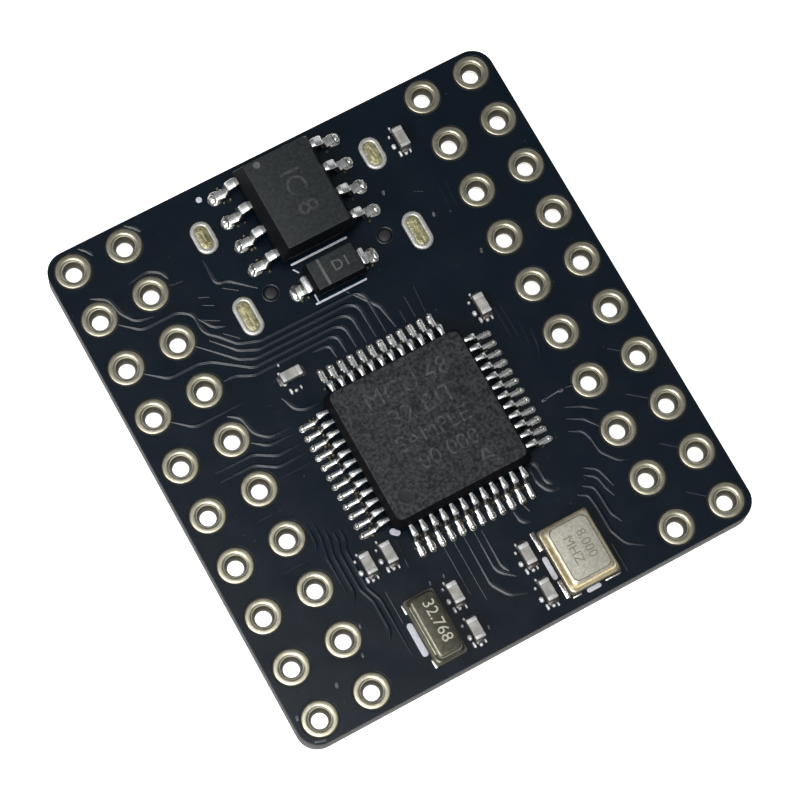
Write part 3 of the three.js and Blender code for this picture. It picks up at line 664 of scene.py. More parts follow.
LOWER_TRACES = [
    [(-2.2, 4.3), (-2.2, 2.6), (-4.7, 2.6), (-6.4, 1.3)],
    [(-0.75, 4.4), (-0.75, 2.2)],
    [(0.75, 4.4), (0.75, 2.6), (2.4, 2.6), (6.9, 5.8)],
    [(2.75, 4.4), (2.75, 3.3), (4.6, 3.3), (6.9, 1.7)],
    [(-1.1, -1.3), (-1.1, -4.2), (-3.3, -5.3)],
    [(1.9, -2.3), (1.9, -4.6), (3.3, -5.5)],
    [(-5.3, -6.25), (-6.9, -5.2)],
    [(5.3, -6.25), (6.9, -5.2)],
    [(-5.3, -8.95), (-6.9, -8.9)],
    [(5.3, -8.95), (6.9, -8.9)],
    [(4.6, -1.6), (5.6, -1.6), (6.9, -2.6)],
    [(4.6, 1.2), (5.4, 1.2), (6.9, 0.2)],
    [(-1.0, -10.8), (-1.0, -6.0), (0.6, -4.0), (0.6, 1.6)],
    [(-6.9, -11.1), (-5.6, -11.1), (-4.6, -11.8), (4.4, -11.8), (5.6, -11.1), (6.9, -11.1)],
]


def trace_section(height):
    """A low swelling with soft flanks, seen in the trace's cross-section."""
    crest = []
    for step in range(TRACE_STEPS + 1):
        t = 1 - 2 * step / TRACE_STEPS
        crest.append((t * TRACE_WIDTH / 2, height * math.cos(t * math.pi / 2) ** 2))
    return crest + [(-TRACE_WIDTH / 2, -TRACE_ROOT), (TRACE_WIDTH / 2, -TRACE_ROOT)]


def is_faint(route):
    """True for the traces by the right-hand pins and by the lower left ones."""
    x, y = route[0]
    return x > FAINT_RIGHT_OF or (x < FAINT_LEFT_OF and y < FAINT_BELOW)


def add_traces(name, routes, height, matrix, material):
    section = trace_section(height)
    shells = []
    for route in routes:
        path = filleted(route, TRACE_BEND, TRACE_BEND_STEPS)
        shells.append(moved(sweep(path, section, lying, TRACE_END_SCALE), matrix))
    add_piece(name, shells, material, sharp=60)


def build_traces():
    """Traces show as swellings in the mask; the fainter ones lie deeper in it."""
    plain = [route for route in UPPER_TRACES if not is_faint(route)]
    faint = [route for route in UPPER_TRACES if is_faint(route)]
    lower = [[(-x, y) for x, y in route] for route in LOWER_TRACES]
    over = shift(0, 0, TOP)
    under = shift(0, 0, BOTTOM) @ TURNED_OVER
    add_traces("upper_traces", plain, TRACE_HEIGHT, over, "trace_mask")
    add_traces("upper_traces_faint", faint, FAINT_TRACE_HEIGHT, over, "mask")
    add_traces("lower_traces", lower, TRACE_HEIGHT, under, "trace_mask")


# -------- printed marks on the mask
INK_ROOT = 0.005
INK_SHOULDER = 0.016
INK_HEIGHT = 0.022
# Printed and scuffed strokes as (start, end, width).
UPPER_PRINT = (
    ((-1.35, 5.0), (1.15, 5.0), 0.095), ((-1.22, 5.05), (-1.22, 5.42), 0.07),
    ((-1.45, 7.14), (1.3, 7.14), 0.105), ((-1.5, 6.9), (-1.36, 6.68), 0.07),
    ((-4.82, -9.75), (-4.82, -11.1), 0.28), ((1.8, -9.95), (1.8, -10.85), 0.24),
    ((2.82, -12.06), (3.32, -12.06), 0.2), ((-3.42, -5.72), (-3.28, -5.84), 0.3))
SCUFFS = (
    ((5.35, -3.66), (6.3, -3.58), 0.06), ((6.2, -3.62), (6.3, -3.62), 0.14),
    ((5.3, -3.66), (5.42, -3.66), 0.12), ((6.5, -3.6), (6.9, -3.68), 0.03))
CORNER_SCUFF = ((-10.8, -12.22), (-10.4, -12.36), 0.1)
# Specks as (x, y, width).
SPECKS = (
    (5.3, 6.25, 0.12), (3.8, 8.2, 0.12), (-8.85, -10.5, 0.13), (-7.24, -9.88, 0.1), (-6.72, -8.7, 0.1),
    (-3.13, -8.5, 0.08), (-2.46, -8.5, 0.07), (-11.02, -10.95, 0.12), (6.35, 3.75, 0.12),
    (-1.85, -11.4, 0.08))
SPECK_REACH = 0.06
SPECK_LEAN = 0.03
# The dot by the 8-lead chip's first pin, as (radius, height).
PIN_DOT = ((0.14, -0.005), (0.14, 0.014), (0.12, 0.02), (0.01, 0.021))
PIN_DOT_PLACE = (-3.66, 11.8)
BUTTON_PLACES = (("RST", "reset_label", -3.3), ("BOOT", "boot_label", 3.3))
BUTTON_PRINT = dict(y=-7.6, half_width=1.6, offset=2.3, label_y=-10.6, label_height=1.0, label_lift=0.004)
LOWER_PRINT_WIDTH = 0.12
REGULATOR_PRINT = ((-5.3, -1.2), (-5.3, 2.4))
CROWN_SHARE = 0.8
# The swollen rim of the mask, as (radius, height).
PEG_RIM = ((0.35, -0.01), (0.355, 0.004), (0.38, 0.012), (0.41, 0.008), (0.43, -0.01))
PEG_WALL_BACK = PEG_HOLE + 0.02
PEG_WALL_TAPER = 0.01


def printed_line(start, end, width, upper=True):
    """A stroke with round ends, lying on one face of the board."""
    start, end = Vector(start), Vector(end)
    middle, along = (start + end) / 2, end - start
    rings = []
    for share, z in ((1.0, -INK_ROOT), (1.0, INK_SHOULDER), (CROWN_SHARE, INK_HEIGHT)):
        wide = width * share
        rings.append(lifted(rounded(along.length + wide, wide, wide / 2, 5), z))
    turn = spin(math.atan2(along.y, along.x))
    place = shift(middle.x, middle.y, TOP if upper else BOTTOM)
    return moved(loft(rings), place @ turn @ (IDENTITY if upper else TURNED_OVER))


def build_printing():
    """White ink: outlines and marks on the upper face, button outlines and labels on the lower one."""
    upper = [printed_line(*stroke) for stroke in UPPER_PRINT]
    upper.append(moved(revolve(PIN_DOT, 20), shift(*PIN_DOT_PLACE, TOP)))
    add_piece("upper_printing", upper, "ink")
    lower = []
    for _, _, x in BUTTON_PLACES:
        left, right = x - BUTTON_PRINT["half_width"], x + BUTTON_PRINT["half_width"]
        for side in (-1, 1):
            y = BUTTON_PRINT["y"] + side * BUTTON_PRINT["offset"]
            lower.append(printed_line((left, y), (right, y), LOWER_PRINT_WIDTH, False))
    lower.append(printed_line(*REGULATOR_PRINT, LOWER_PRINT_WIDTH, False))
    add_piece("lower_printing", lower, "ink")
    for text, name, x in BUTTON_PLACES:
        place = shift(x, BUTTON_PRINT["label_y"], BOTTOM - BUTTON_PRINT["label_lift"]) @ TURNED_OVER
        lettering(name, text, BUTTON_PRINT["label_height"], place, "ink")


def build_wear():
    """Scuffs and specks on the upper face."""
    wear_and_highlights = [printed_line(*stroke) for stroke in SCUFFS]
    for x, y, width in SPECKS:
        wear_and_highlights.append(printed_line((x, y - SPECK_REACH), (x + SPECK_LEAN, y + SPECK_REACH), width))
    wear_and_highlights.append(printed_line(*CORNER_SCUFF))
    add_piece("scuffs_and_specks", wear_and_highlights, "worn_ink")


def build_peg_rims():
    """The mask's swollen rim round each peg hole, and the hole's wall."""
    rings = []
    wall = [(PEG_HOLE, TOP - MASK_SETBACK), (PEG_HOLE - PEG_WALL_TAPER, BOTTOM + MASK_SETBACK),
            (PEG_WALL_BACK, BOTTOM + MASK_SETBACK), (PEG_WALL_BACK, TOP - MASK_SETBACK)]
    for place in PEG_PLACES:
        for profile in ([(radius, TOP + z) for radius, z in PEG_RIM], wall):
            rings.append(revolve(profile, PEG_RIM_SIDES, place, closed=True))
    add_piece("peg_hole_rims", rings, "trace_mask", sharp=60)


# -------- packages, leads and solder
PARTING_HALF = 0.1
PARTING_STEP = 0.02
PARTING_INSET = 0.01
UNDERSIDE_INSET = 0.1
# How a moulded top edge turns over, as (inward, down) shares of its edge.
TOP_EDGE = ((-0.25, 1.0), (0.0, 0.42), (0.35, 0.1), (0.9, 0.0))


def inset_rectangle(width, length, left, right, ends, corner):
    return rounded(width - left - right, length - 2 * ends, corner, 3, ((left - right) / 2, 0))


def moulded_body(width, length, height, standoff, top, edge, corner):
    """A moulded package: flanks that lean in from the parting line to the top's own inset on each side."""
    middle = standoff + (height - standoff) * 0.5
    width -= 2 * FLANK_RELIEF
    length -= 2 * FLANK_RELIEF
    left, right, ends = (inset - FLANK_RELIEF for inset in top)
    lower = (
        (UNDERSIDE_INSET + edge / 2, standoff), (UNDERSIDE_INSET, standoff + edge / 2),
        (PARTING_INSET, middle - PARTING_HALF), (0, middle - PARTING_HALF + PARTING_STEP),
        (0, middle + PARTING_HALF - PARTING_STEP), (PARTING_INSET, middle + PARTING_HALF))
    levels = [(inset, inset, inset, z) for inset, z in lower]
    for inward, down in TOP_EDGE:
        inset = inward * edge
        levels.append((left + inset, right + inset, ends + inset, height - down * edge))
    return loft([lifted(inset_rectangle(width, length, a, b, c, corner), z) for a, b, c, z in levels])


LEAD_ROOT_DEPTH = 0.15
LEAD_ROOT_SHARE = 0.2
LEAD_LIFT = 0.01
LEAD_ROUNDING = 0.48
LEAD_END_SCALE = 0.8
SECTION_WIDTH = 0.9
# Heights of a solder drop's rings, as shares of its height.
MOUND_LEVELS = (0.0, 0.12, 0.3, 0.5, 0.7, 0.88, 0.97)
MOUND_WAVES = (2, 3, 5)
MOUND_STEPS = 6
MOUND_ROUNDING = 0.48
MOUND_DRAW = 0.35
MOUND_LEAN = 0.12
MOUND_RIPPLE = 0.3
# Spans of the random draws for each lead: the drop on its foot, the drop at its toe, and the flux.
FOOT_WIDER = (1.25, 1.5)
FOOT_TALLER = (0.85, 1.2)
TOE_SHIFT = (-0.05, 0.03)
TOE_TALLER = (0.95, 1.35)
TOE_NARROWER = 0.8
TOE_MARGIN = 0.02
FLUX_BEADS = 3
FLUX_HALF = 0.08
FLUX_WIDTH = (0.1, 0.17)
FLUX_HEIGHT = (0.06, 0.12)
FLUX_SHIFT = (-0.2, 0.25)
FLUX_SIDE = 0.75


def gull_wing(leads, body_half):
    """One lead: out of the body, down through two soft bends and along the pad."""
    t = leads["thickness"]
    foot = t / 2 + LEAD_LIFT
    knee = body_half + leads["knee"]
    heel = knee + leads["drop"]
    root = body_half + LEAD_ROOT_SHARE * leads["knee"]
    path = filleted([
        (body_half - LEAD_ROOT_DEPTH, leads["exit"]),
        (root, leads["exit"]),
        (knee, leads["exit"] - leads["droop"]),
        (heel, foot),
        (leads["reach"], foot),
    ], leads["bend"], 6)
    widths = []
    for point in path:
        share = min(max((point.x - knee) / leads["drop"], 0), 1)
        width = leads["width"] + (leads["foot_width"] - leads["width"]) * share
        widths.append(leads["root_width"] if point.x <= root else width)
    section = [(u / SECTION_WIDTH, v) for u, v in rounded(SECTION_WIDTH, t, t * LEAD_ROUNDING, 4)]
    verts, faces = sweep(path, section, end_scale=LEAD_END_SCALE)
    per_ring = len(verts) // len(path)
    return [Vector((v.x, v.y * widths[index // per_ring], v.z)) for index, v in enumerate(verts)], faces


def solder_mound(start, end, width, height, rng, wobble=0.1):
    """A drop of solder on its pad: steep at the rim, drawn up towards the lead at its inner end."""
    length = end - start
    middle = (start + end) / 2
    waves = [(rng.uniform(-wobble, wobble), rng.uniform(0, 2 * math.pi), k) for k in MOUND_WAVES]
    outline = rounded(length, width, min(width, length) * MOUND_ROUNDING, MOUND_STEPS)
    rings = []
    for t in MOUND_LEVELS:
        shrink = math.sqrt(max(1 - t * t, 0)) if t else 1.0
        ring = []
        for index, (x, y) in enumerate(outline):
            angle = 2 * math.pi * index / len(outline)
            bulge = 1 + t * sum(a * math.sin(k * angle + phase) for a, phase, k in waves)
            rise = height * t * (1 - MOUND_DRAW * x / length * (1 - t)) * (1 + MOUND_RIPPLE * (bulge - 1))
            across = middle + x * shrink * bulge - MOUND_LEAN * length * t * t
            ring.append(Vector((across, y * shrink * bulge, rise)))
        rings.append(ring)
    return loft(rings)


def lead_bank(node, leads, body_half, matrix, rng, solder_name):
    """A bank of gull-wing leads along local Y, and the solder that holds it to the pads."""
    metal, solder, flux = [], [], []
    heel = body_half + leads["knee"] + leads["drop"]
    for finger in range(leads["count"]):
        across = (finger - (leads["count"] - 1) / 2) * leads["pitch"]
        at = matrix @ shift(0, across, 0)
        metal.append(moved(gull_wing(leads, body_half), at))
        width = leads["foot_width"] * rng.uniform(*FOOT_WIDER)
        height = leads["solder"] * rng.uniform(*FOOT_TALLER)
        solder.append(moved(solder_mound(leads["pad_start"], leads["pad_end"], width, height, rng), at))
        toe = leads["reach"] + rng.uniform(*TOE_SHIFT)
        height = leads["thickness"] * rng.uniform(*TOE_TALLER)
        bead = solder_mound(toe, leads["pad_end"] - TOE_MARGIN, width * TOE_NARROWER, height, rng)
        solder.append(moved(bead, at))
        for _ in range(FLUX_BEADS):
            width, height = rng.uniform(*FLUX_WIDTH), rng.uniform(*FLUX_HEIGHT)
            bead = solder_mound(-FLUX_HALF, FLUX_HALF, width, height, rng)
            along, side = heel + rng.uniform(*FLUX_SHIFT), rng.choice((-1, 1))
            place = shift(along, side * leads["foot_width"] * FLUX_SIDE, 0)
            flux.append(moved(bead, at @ place @ spin(rng.uniform(0, 3))))
    add_piece(node + "_formed", metal, "lead", [node])
    add_piece(solder_name, solder, "solder")
    add_piece(solder_name.replace("solder", "flux"), flux, "flux")


def leaded_package(name, standoff, top, banks, edge=0.035, corner=0.12, material="smooth_epoxy"):
    """A moulded body and its banks of leads; banks lists (side, quarter turns, leads).

    Gives back the package's place, that of its top face, and its size.
    """
    body_node = name + "_body"
    size = size_mm(body_node)
    matrix = spot(body_node)
    shell = moulded_body(size.x, size.y, size.z + standoff, standoff, top, edge, corner)
    add_piece(body_node + "_moulded", [moved(shell, matrix)], material, [body_node],
              sharp=32)
    rng = random.Random(SEED + len(name))
    for side, quarter, leads in banks:
        half = (size.y if quarter % 2 else size.x) / 2
        turned = matrix @ spin(quarter * math.pi / 2)
        lead_bank(f"{name}_leads_{side}", leads, half, turned, rng, f"{name}_solder_{side}")
    return matrix, matrix @ shift(0, 0, size.z + standoff + MARK_LIFT), size


def two_banks(right, left):
    return ("right", 0, right), ("left", 2, left)


# A bowl with a soft rim, as (share of its radius, height).
DIMPLE = ((1.1, -0.01), (1.08, 0.004), (1.0, 0.008), (0.9, 0.004), (0.6, 0.001))


def add_dimple(name, matrix, place, radius, material):
    """A shallow moulded dimple: a bowl with a soft rim, set just proud of the face."""
    bowl = revolve([(radius * share, z) for share, z in DIMPLE] + [(0.01, 0.0005)], 28)
    add_piece(name, [moved(bowl, matrix @ Matrix.Translation(place))], material)


def etched(name, face, lines, turn=0.0, material="faint_etch"):
    """Worn generic etching; lines lists (text, size, x, y)."""
    turned = face @ spin(turn)
    for index, (text, size, x, y) in enumerate(lines):
        place = turned @ shift(x, y, 0)
        lettering(f"{name}_mark_{index}", text, size, place, material, 0.003)


def build_controller():
    sides = ("right", "usb_side", "left", "far_side")
    banks = [(side, quarter, CONTROLLER_LEADS) for quarter, side in enumerate(sides)]
    standoff = 0.1
    matrix, face, size = leaded_package("controller", standoff, (0.27, 0.27, 0.27), banks, corner=0.3,
                                        material="epoxy")
    lines = (("MCU 48", 1.2, 0.1, 2.05), ("32 BIT", 1.2, 0.25, 0.85), ("SAMPLE", 1.05, 0.1, -0.3),
             ("00 000", 1.05, 0.3, -1.4), ("A", 1.3, 1.6, -2.45))
    etched("controller", face, lines, material="etch")
    add_dimple("controller_pin_one_dimple", matrix, (-2.4, -2.35, size.z + standoff), 0.35, "dimple")


def build_memory_chip():
    banks = two_banks(MEMORY_LEADS, MEMORY_LEADS)
    standoff = 0.12
    matrix, face, size = leaded_package("memory_chip", standoff, (0.48, 0.3, 0.25), banks, 0.05, 0.08)
    etched("memory_chip", face, [("IC 8", 1.35, 0.0, 0.2)], -math.pi / 2)
    add_dimple("memory_chip_pin_one_dimple", matrix, (-0.87, 1.95, size.z + standoff), 0.15, "band")


DIODE_BAND = dict(x=-0.57, width=0.13, shorter=0.3)


def build_diode():
    banks = two_banks(DIODE_LEADS, DIODE_LEADS)
    standoff = 0.05
    matrix, face, size = leaded_package("diode", standoff, (0.22, 0.2, 0.12), banks, corner=0.08)
    top = size.z + standoff
    band = slab(DIODE_BAND["width"], size.y - DIODE_BAND["shorter"], 0.02, top - 0.01, top + 0.005, 0.004)
    place = matrix @ shift(DIODE_BAND["x"], 0, 0)
    add_piece("diode_cathode_band", [moved(band, place)], "band")
    place = face @ shift(0.32, 0, 0)
    lettering("diode_mark", "D1", 0.72, place, "band", 0.003)


def build_regulator():
    banks = two_banks(REGULATOR_LEADS, REGULATOR_OUTPUT_LEADS)
    _, face, _ = leaded_package("regulator", 0.1, (0.08, 0.08, 0.08), banks, corner=0.08)
    etched("regulator", face, [("REG", 0.8, 0, 0)], -math.pi / 2)


# -------- crystals
# Lid flanks from foot to face: (share of the way in, share of the way up).
DRAWN_FLANK = ((0.02, 0.38), (0.16, 0.71), (0.49, 0.92), (0.82, 0.99))
BROAD_SHOULDER = ((0.04, 0.33), (0.1, 0.55), (0.2, 0.7), (0.36, 0.82), (0.56, 0.91), (0.78, 0.975))
TRAY_HEIGHT = 0.2
FLANGE_HEIGHT = 0.13
FLANGE_WIDTH = 0.06
LID_CORNER = 0.27
# The lid's flange from the tray up: (inset beyond the lid's own, corner radius, height above the tray).
LID_FLANGE = (
    (0.0, 0.24, 0.0), (0.0, 0.25, 0.04), (0.05, 0.26, 0.08), (FLANGE_WIDTH, LID_CORNER, FLANGE_HEIGHT))
# Painted highlights: strips of bright metal along the watch crystal's -X edge, the side the light comes from,
# as (outward from the face's edge, height, shortening).
PAINTED_HIGHLIGHT_EDGES = ((-0.13, -0.13, 0.35), (0.015, 0.0, 0.15))
PAINTED_HIGHLIGHT_WIDTH = 0.055
# The dark seam round the main crystal's face, as (growth, height).
SEAM = ((0.0, -0.01), (0.0, 0.003), (-0.07, 0.003), (-0.07, -0.01))
# Solder at the crystals' pads: (x, y, width, length).
CRYSTAL_PADS = (
    (1.86, -9.1, 0.22, 0.95), (1.86, -11.5, 0.22, 0.9), (2.25, -12.02, 0.45, 0.12), (4.05, -12.02, 0.8, 0.1),
    (-4.68, -9.0, 0.12, 0.5), (-4.68, -11.7, 0.14, 0.45))


def build_crystal(name, lid, foot, margin, flank):
    """A ceramic tray under a drawn metal lid; foot and margin are the insets of its foot and face.

    Gives back the place of the lid's face, and its size.
    """
    tray = size_mm(name + "_tray")
    matrix = spot(name + "_tray", name + "_lid")
    top = tray.z + size_mm(name + "_lid").z + SOLDER_FILM
    w, l = tray.x, tray.y
    tray_sections = [(w - less, l - less, 0.12, z) for less, z in
                     ((0.0, 0.0), (0.0, TRAY_HEIGHT - 0.02), (0.03, TRAY_HEIGHT))]
    add_piece(name + "_ceramic", [moved(stack(tray_sections, 5), matrix)], "crystal_tray",
              [name + "_tray"])
    shape = [(foot + inset, corner, TRAY_HEIGHT + z) for inset, corner, z in LID_FLANGE]
    shoulder = TRAY_HEIGHT + FLANGE_HEIGHT
    rise = top - shoulder
    run = margin - foot - FLANGE_WIDTH
    for inward, upward in flank:
        shape.append((foot + FLANGE_WIDTH + run * inward, LID_CORNER, shoulder + rise * upward))
    shape += [(margin - 0.02, LID_CORNER, top - 0.004), (margin + 0.03, 0.25, top)]
    sections = [(w - 2 * inset, l - 2 * inset, corner, z) for inset, corner, z in shape]
    add_piece(name + "_lid_drawn", [moved(stack(sections, 7), matrix)], lid, [name + "_lid"],
              sharp=40)
    return matrix @ shift(0, 0, top), Vector((w - 2 * margin, l - 2 * margin))


def crystal_mark(name, text, height, face, x, y, material):
    turned = face @ shift(x, y, MARK_LIFT) @ spin(-math.pi / 2)
    lettering(name, text, height, turned, material, 0.004)


def build_watch_crystal():
    face, size = build_crystal("watch_crystal", "dark_lid", 0.05, 0.25, DRAWN_FLANK)
    crystal_mark("watch_crystal_mark", "32.768", 0.75, face, 0.14, 0.1, "pale_mark")
    # Two painted highlight strips along the lid's -X edge.
    wear_and_highlights = []
    for outward, rise, shorter in PAINTED_HIGHLIGHT_EDGES:
        strip = slab(PAINTED_HIGHLIGHT_WIDTH, size.y - shorter, 0.02, -0.02, 0.008, 0.012)
        wear_and_highlights.append(moved(strip, face @ shift(-0.5 * size.x + outward, 0, rise)))
    add_piece("watch_crystal_painted_highlights", wear_and_highlights, "painted_highlight_metal")


def build_main_crystal():
    face, size = build_crystal("main_crystal", "lid", 0.04, 0.31, BROAD_SHOULDER)
    line = [lifted(rounded(size.x + growth, size.y + growth, LID_CORNER, 7), z) for growth, z in SEAM]
    add_piece("main_crystal_seam_line", [moved(loft(line, closed=True), face)], "rim_line")
    for text, x in (("8.000", 0.36), ("MHZ", -0.3)):
        crystal_mark("main_crystal_mark_" + text[0], text, 0.62, face, x, 0.05, "lid_mark")


def build_crystal_solder():
    pads = []
    for x, y, width, length in CRYSTAL_PADS:
        place = face_spot(x, y) @ shift(0, 0, -SOLDER_FILM)
        pads.append(moved(slab(width, length, 0.05, 0.0, 0.07, 0.03), place))
    add_piece("crystal_pad_solder", pads, "solder")


# -------- chip capacitors and resistors
# Beads of solder round a chip, painted near-white as highlights: (x, y) from its middle, then width and
# length.
CHIP_BEADS = (
    (-0.42, -0.18, 0.2, 0.27), (-0.36, -0.6, 0.12, 0.3), (-0.1, -0.68, 0.16, 0.16), (0.13, -0.68, 0.08, 0.2),
    (-0.42, 0.36, 0.11, 0.15), (-0.24, 0.66, 0.09, 0.14))
# How far the solder at an end runs under it and beyond it, and its size as shares of the chip's.
FILLET_UNDER = 0.1
FILLET_BEYOND = 0.17
FILLET_WIDER = 1.1
FILLET_RISE = 0.22
# Spans of the random draws: an end cap's reach, a bead's height, and how far it strays in x and y.
CHIP_END_REACH = (0.2, 0.26)
CHIP_BEAD_TALLER = (0.3, 0.45)
CHIP_BEAD_STRAY = ((-0.03, 0.03), (-0.05, 0.05))


def outward_turn(matrix, side):
    """The same place, with local +X turned to the given side."""
    return matrix @ spin(0 if side > 0 else math.pi)


def build_chip(node, rng):
    """A chip capacitor or resistor: body, end caps, solder at both ends and stray beads round it."""
    size = size_mm(node)
    matrix = spot(node, turn=math.pi / 2 if size.y > size.x else 0.0)
    length, width, height = max(size.x, size.y), min(size.x, size.y), size.z
    material, slot = ("resistor", "chip_resistor") if "resistor" in node else ("ceramic", "chip_ceramic")
    body = slab(length - 0.1, width - 0.03, 0.02, 0.02, height - 0.015, 0.02)
    add_piece(node + "_body", [moved(body, matrix)], material, [node])
    ends, pads, solder = [], [], []
    for side in (-1, 1):
        reach = rng.uniform(*CHIP_END_REACH)
        at = matrix @ shift(side * (length - reach) / 2, 0, 0)
        ends.append(moved(slab(reach, width, 0.05, 0.0, height, 0.045), at))
        start, stop = length / 2 - FILLET_UNDER, length / 2 + FILLET_BEYOND
        fillet = solder_mound(start, stop, width * FILLET_WIDER, height * FILLET_RISE, rng, wobble=0.08)
        pads.append(moved(fillet, outward_turn(matrix, side)))
    above = matrix.translation.z > BOTTOM
    base = Matrix.Translation(matrix.translation) @ (IDENTITY if above else TURNED_OVER)
    for across, along, wide, long in CHIP_BEADS:
        rise = height * rng.uniform(*CHIP_BEAD_TALLER)
        bead = solder_mound(-long / 2, long / 2, wide, rise, rng, wobble=0.06)
        stray_x, stray_y = (rng.uniform(*span) for span in CHIP_BEAD_STRAY)
        place = shift(across + stray_x, along + stray_y, 0)
        solder.append(moved(bead, base @ place @ spin(math.pi / 2)))
    add_piece(node + "_ends", ends, "chip_end")
    # The end solder is painted dark as shade; the stray beads are painted near-white as highlights.
    add_piece(node + "_pads", pads, "pad_solder")
    add_piece(node + "_solder", solder, "bright_solder")


def build_chips():
    rng = random.Random(SEED)
    for node in sorted(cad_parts):
        if node.endswith("_capacitor") or "_capacitor_" in node or "_resistor" in node:
            build_chip(node, rng)


# -------- USB-C receptacle
USB_WALL = 0.3
USB_SOFT_EDGE = 0.06
USB_FIT = 0.02
USB_BLOCK_LENGTH = 1.9
USB_LEG_MARGIN = 0.8
USB_LEG_DEPTH = 0.2
TONGUE_WIDTH = 6.69
TONGUE_HALF = 0.35
TONGUE_BEYOND_PLATE = 0.4
TONGUE_ROOT = 0.1
TONGUE_TAPER = 1.6
# The tongue's tip, as (inset, distance behind the tip).
TONGUE_TIP = ((0.0, 0.18), (0.1, 0.04), (0.2, 0.0))
# A peg's end, as (radius, depth below the mask).
PEG_END = ((0.32, 0.12), (0.3, 0.07), (0.25, 0.04), (0.1, 0.03), (0.01, 0.028))
MID_PLATE_HALF = 0.08
CONTACT_PLACES = (-2.75, -1.25, -0.75, -0.25, 0.25, 0.75, 1.25, 2.75)
CONTACT_WIDTH = 0.26
CONTACT_HALF = 0.03
CONTACT_SETBACK = 0.55
TAIL_THICKNESS = 0.14
TAIL_LIFT = 0.09
TAIL_RISE = 0.6
# A tail's drop of solder: start, end, width and height.
TAIL_SOLDER = (0.0, 0.85, 0.36, 0.2)
TAIL_SOLDER_SETBACK = 0.15
# A leg's solder on the upper face: its ring and its lumpy fill, as (inset, height above the mask).
LEG_RING = ((0.0, -0.02), (0.0, 0.03), (0.02, 0.06), (0.06, 0.08), (0.13, 0.085), (0.18, 0.08), (0.21, 0.06),
            (0.23, -0.02))
LEG_FILL = ((0.2, -0.9), (0.205, 0.05), (0.23, 0.07), (0.27, 0.085), (0.31, 0.09), (0.36, 0.1), (0.42, 0.105),
            (0.47, 0.1))
LEG_FILL_ROUGHNESS = 0.018

shell_low, shell_high = box_mm("usb_shell")
USB_WIDTH = shell_high.x - shell_low.x
USB_HEIGHT = BOTTOM - SOLDER_FILM - shell_low.z
USB_LEVEL = shell_low.z + USB_HEIGHT / 2
BLOCK_END = shell_low.y + USB_BLOCK_LENGTH
plate_high = box_mm("usb_mid_plate")[1]
TONGUE_END = plate_high.y + TONGUE_BEYOND_PLATE


def usb_ring(inset, y):
    """The receptacle's rounded mouth outline, inset, at one place along it."""
    width, height = USB_WIDTH - 2 * inset, USB_HEIGHT - 2 * inset
    return along_y(rounded(width, height, height / 2, 10), y)


def along_y(outline, y):
    return [Vector((x, y, z + USB_LEVEL)) for x, z in outline]


def build_usb_shell():
    soft, low, high = USB_SOFT_EDGE, shell_low.y, shell_high.y
    profile = ((USB_WALL, low + soft), (soft, low), (0.0, low + soft), (0.0, high - soft), (soft, high),
               (USB_WALL - soft, high), (USB_WALL, high - soft))
    shells = [loft([usb_ring(inset, y) for inset, y in profile], closed=True)]
    for node in LEG_SOLDER_NODES:
        _, length, (x, y) = plan_of(node)
        place = (math.copysign(USB_WIDTH / 2 - USB_WALL / 2, x), y)
        end = TOP - USB_LEG_DEPTH
        shells.append(slab(USB_WALL, length - USB_LEG_MARGIN, 0.08, USB_LEVEL, end, 0.05, 4, place))
    add_piece("usb_shell_drawn", shells, "steel", ["usb_shell"])


def build_usb_inside():
    block = loft([usb_ring(USB_WALL + USB_FIT, y) for y in (shell_low.y + USB_FIT, BLOCK_END)])
    tongue = []
    tip = [(inset, TONGUE_END - behind) for inset, behind in TONGUE_TIP]
    for inset, y in ((0.0, BLOCK_END - TONGUE_ROOT), *tip):
        height = 2 * TONGUE_HALF - inset * TONGUE_TAPER
        tongue.append(along_y(rounded(TONGUE_WIDTH - inset, height, 0.12, 4), y))
    peg = [(PEG_END[0][0], USB_LEVEL)] + [(radius, TOP - depth) for radius, depth in PEG_END]
    shells = [block, loft(tongue)] + [revolve(peg, PEG_SIDES, place) for place in PEG_PLACES]
    add_piece("usb_housing_moulded", shells, "black_plastic", ["usb_housing"])
    width, length, middle = plan_of("usb_mid_plate")
    sheet = slab(width, length, 0.15, USB_LEVEL - MID_PLATE_HALF, USB_LEVEL + MID_PLATE_HALF, 0.02, 4, middle)
    add_piece("usb_mid_plate_pressed", [sheet], "steel", ["usb_mid_plate"])


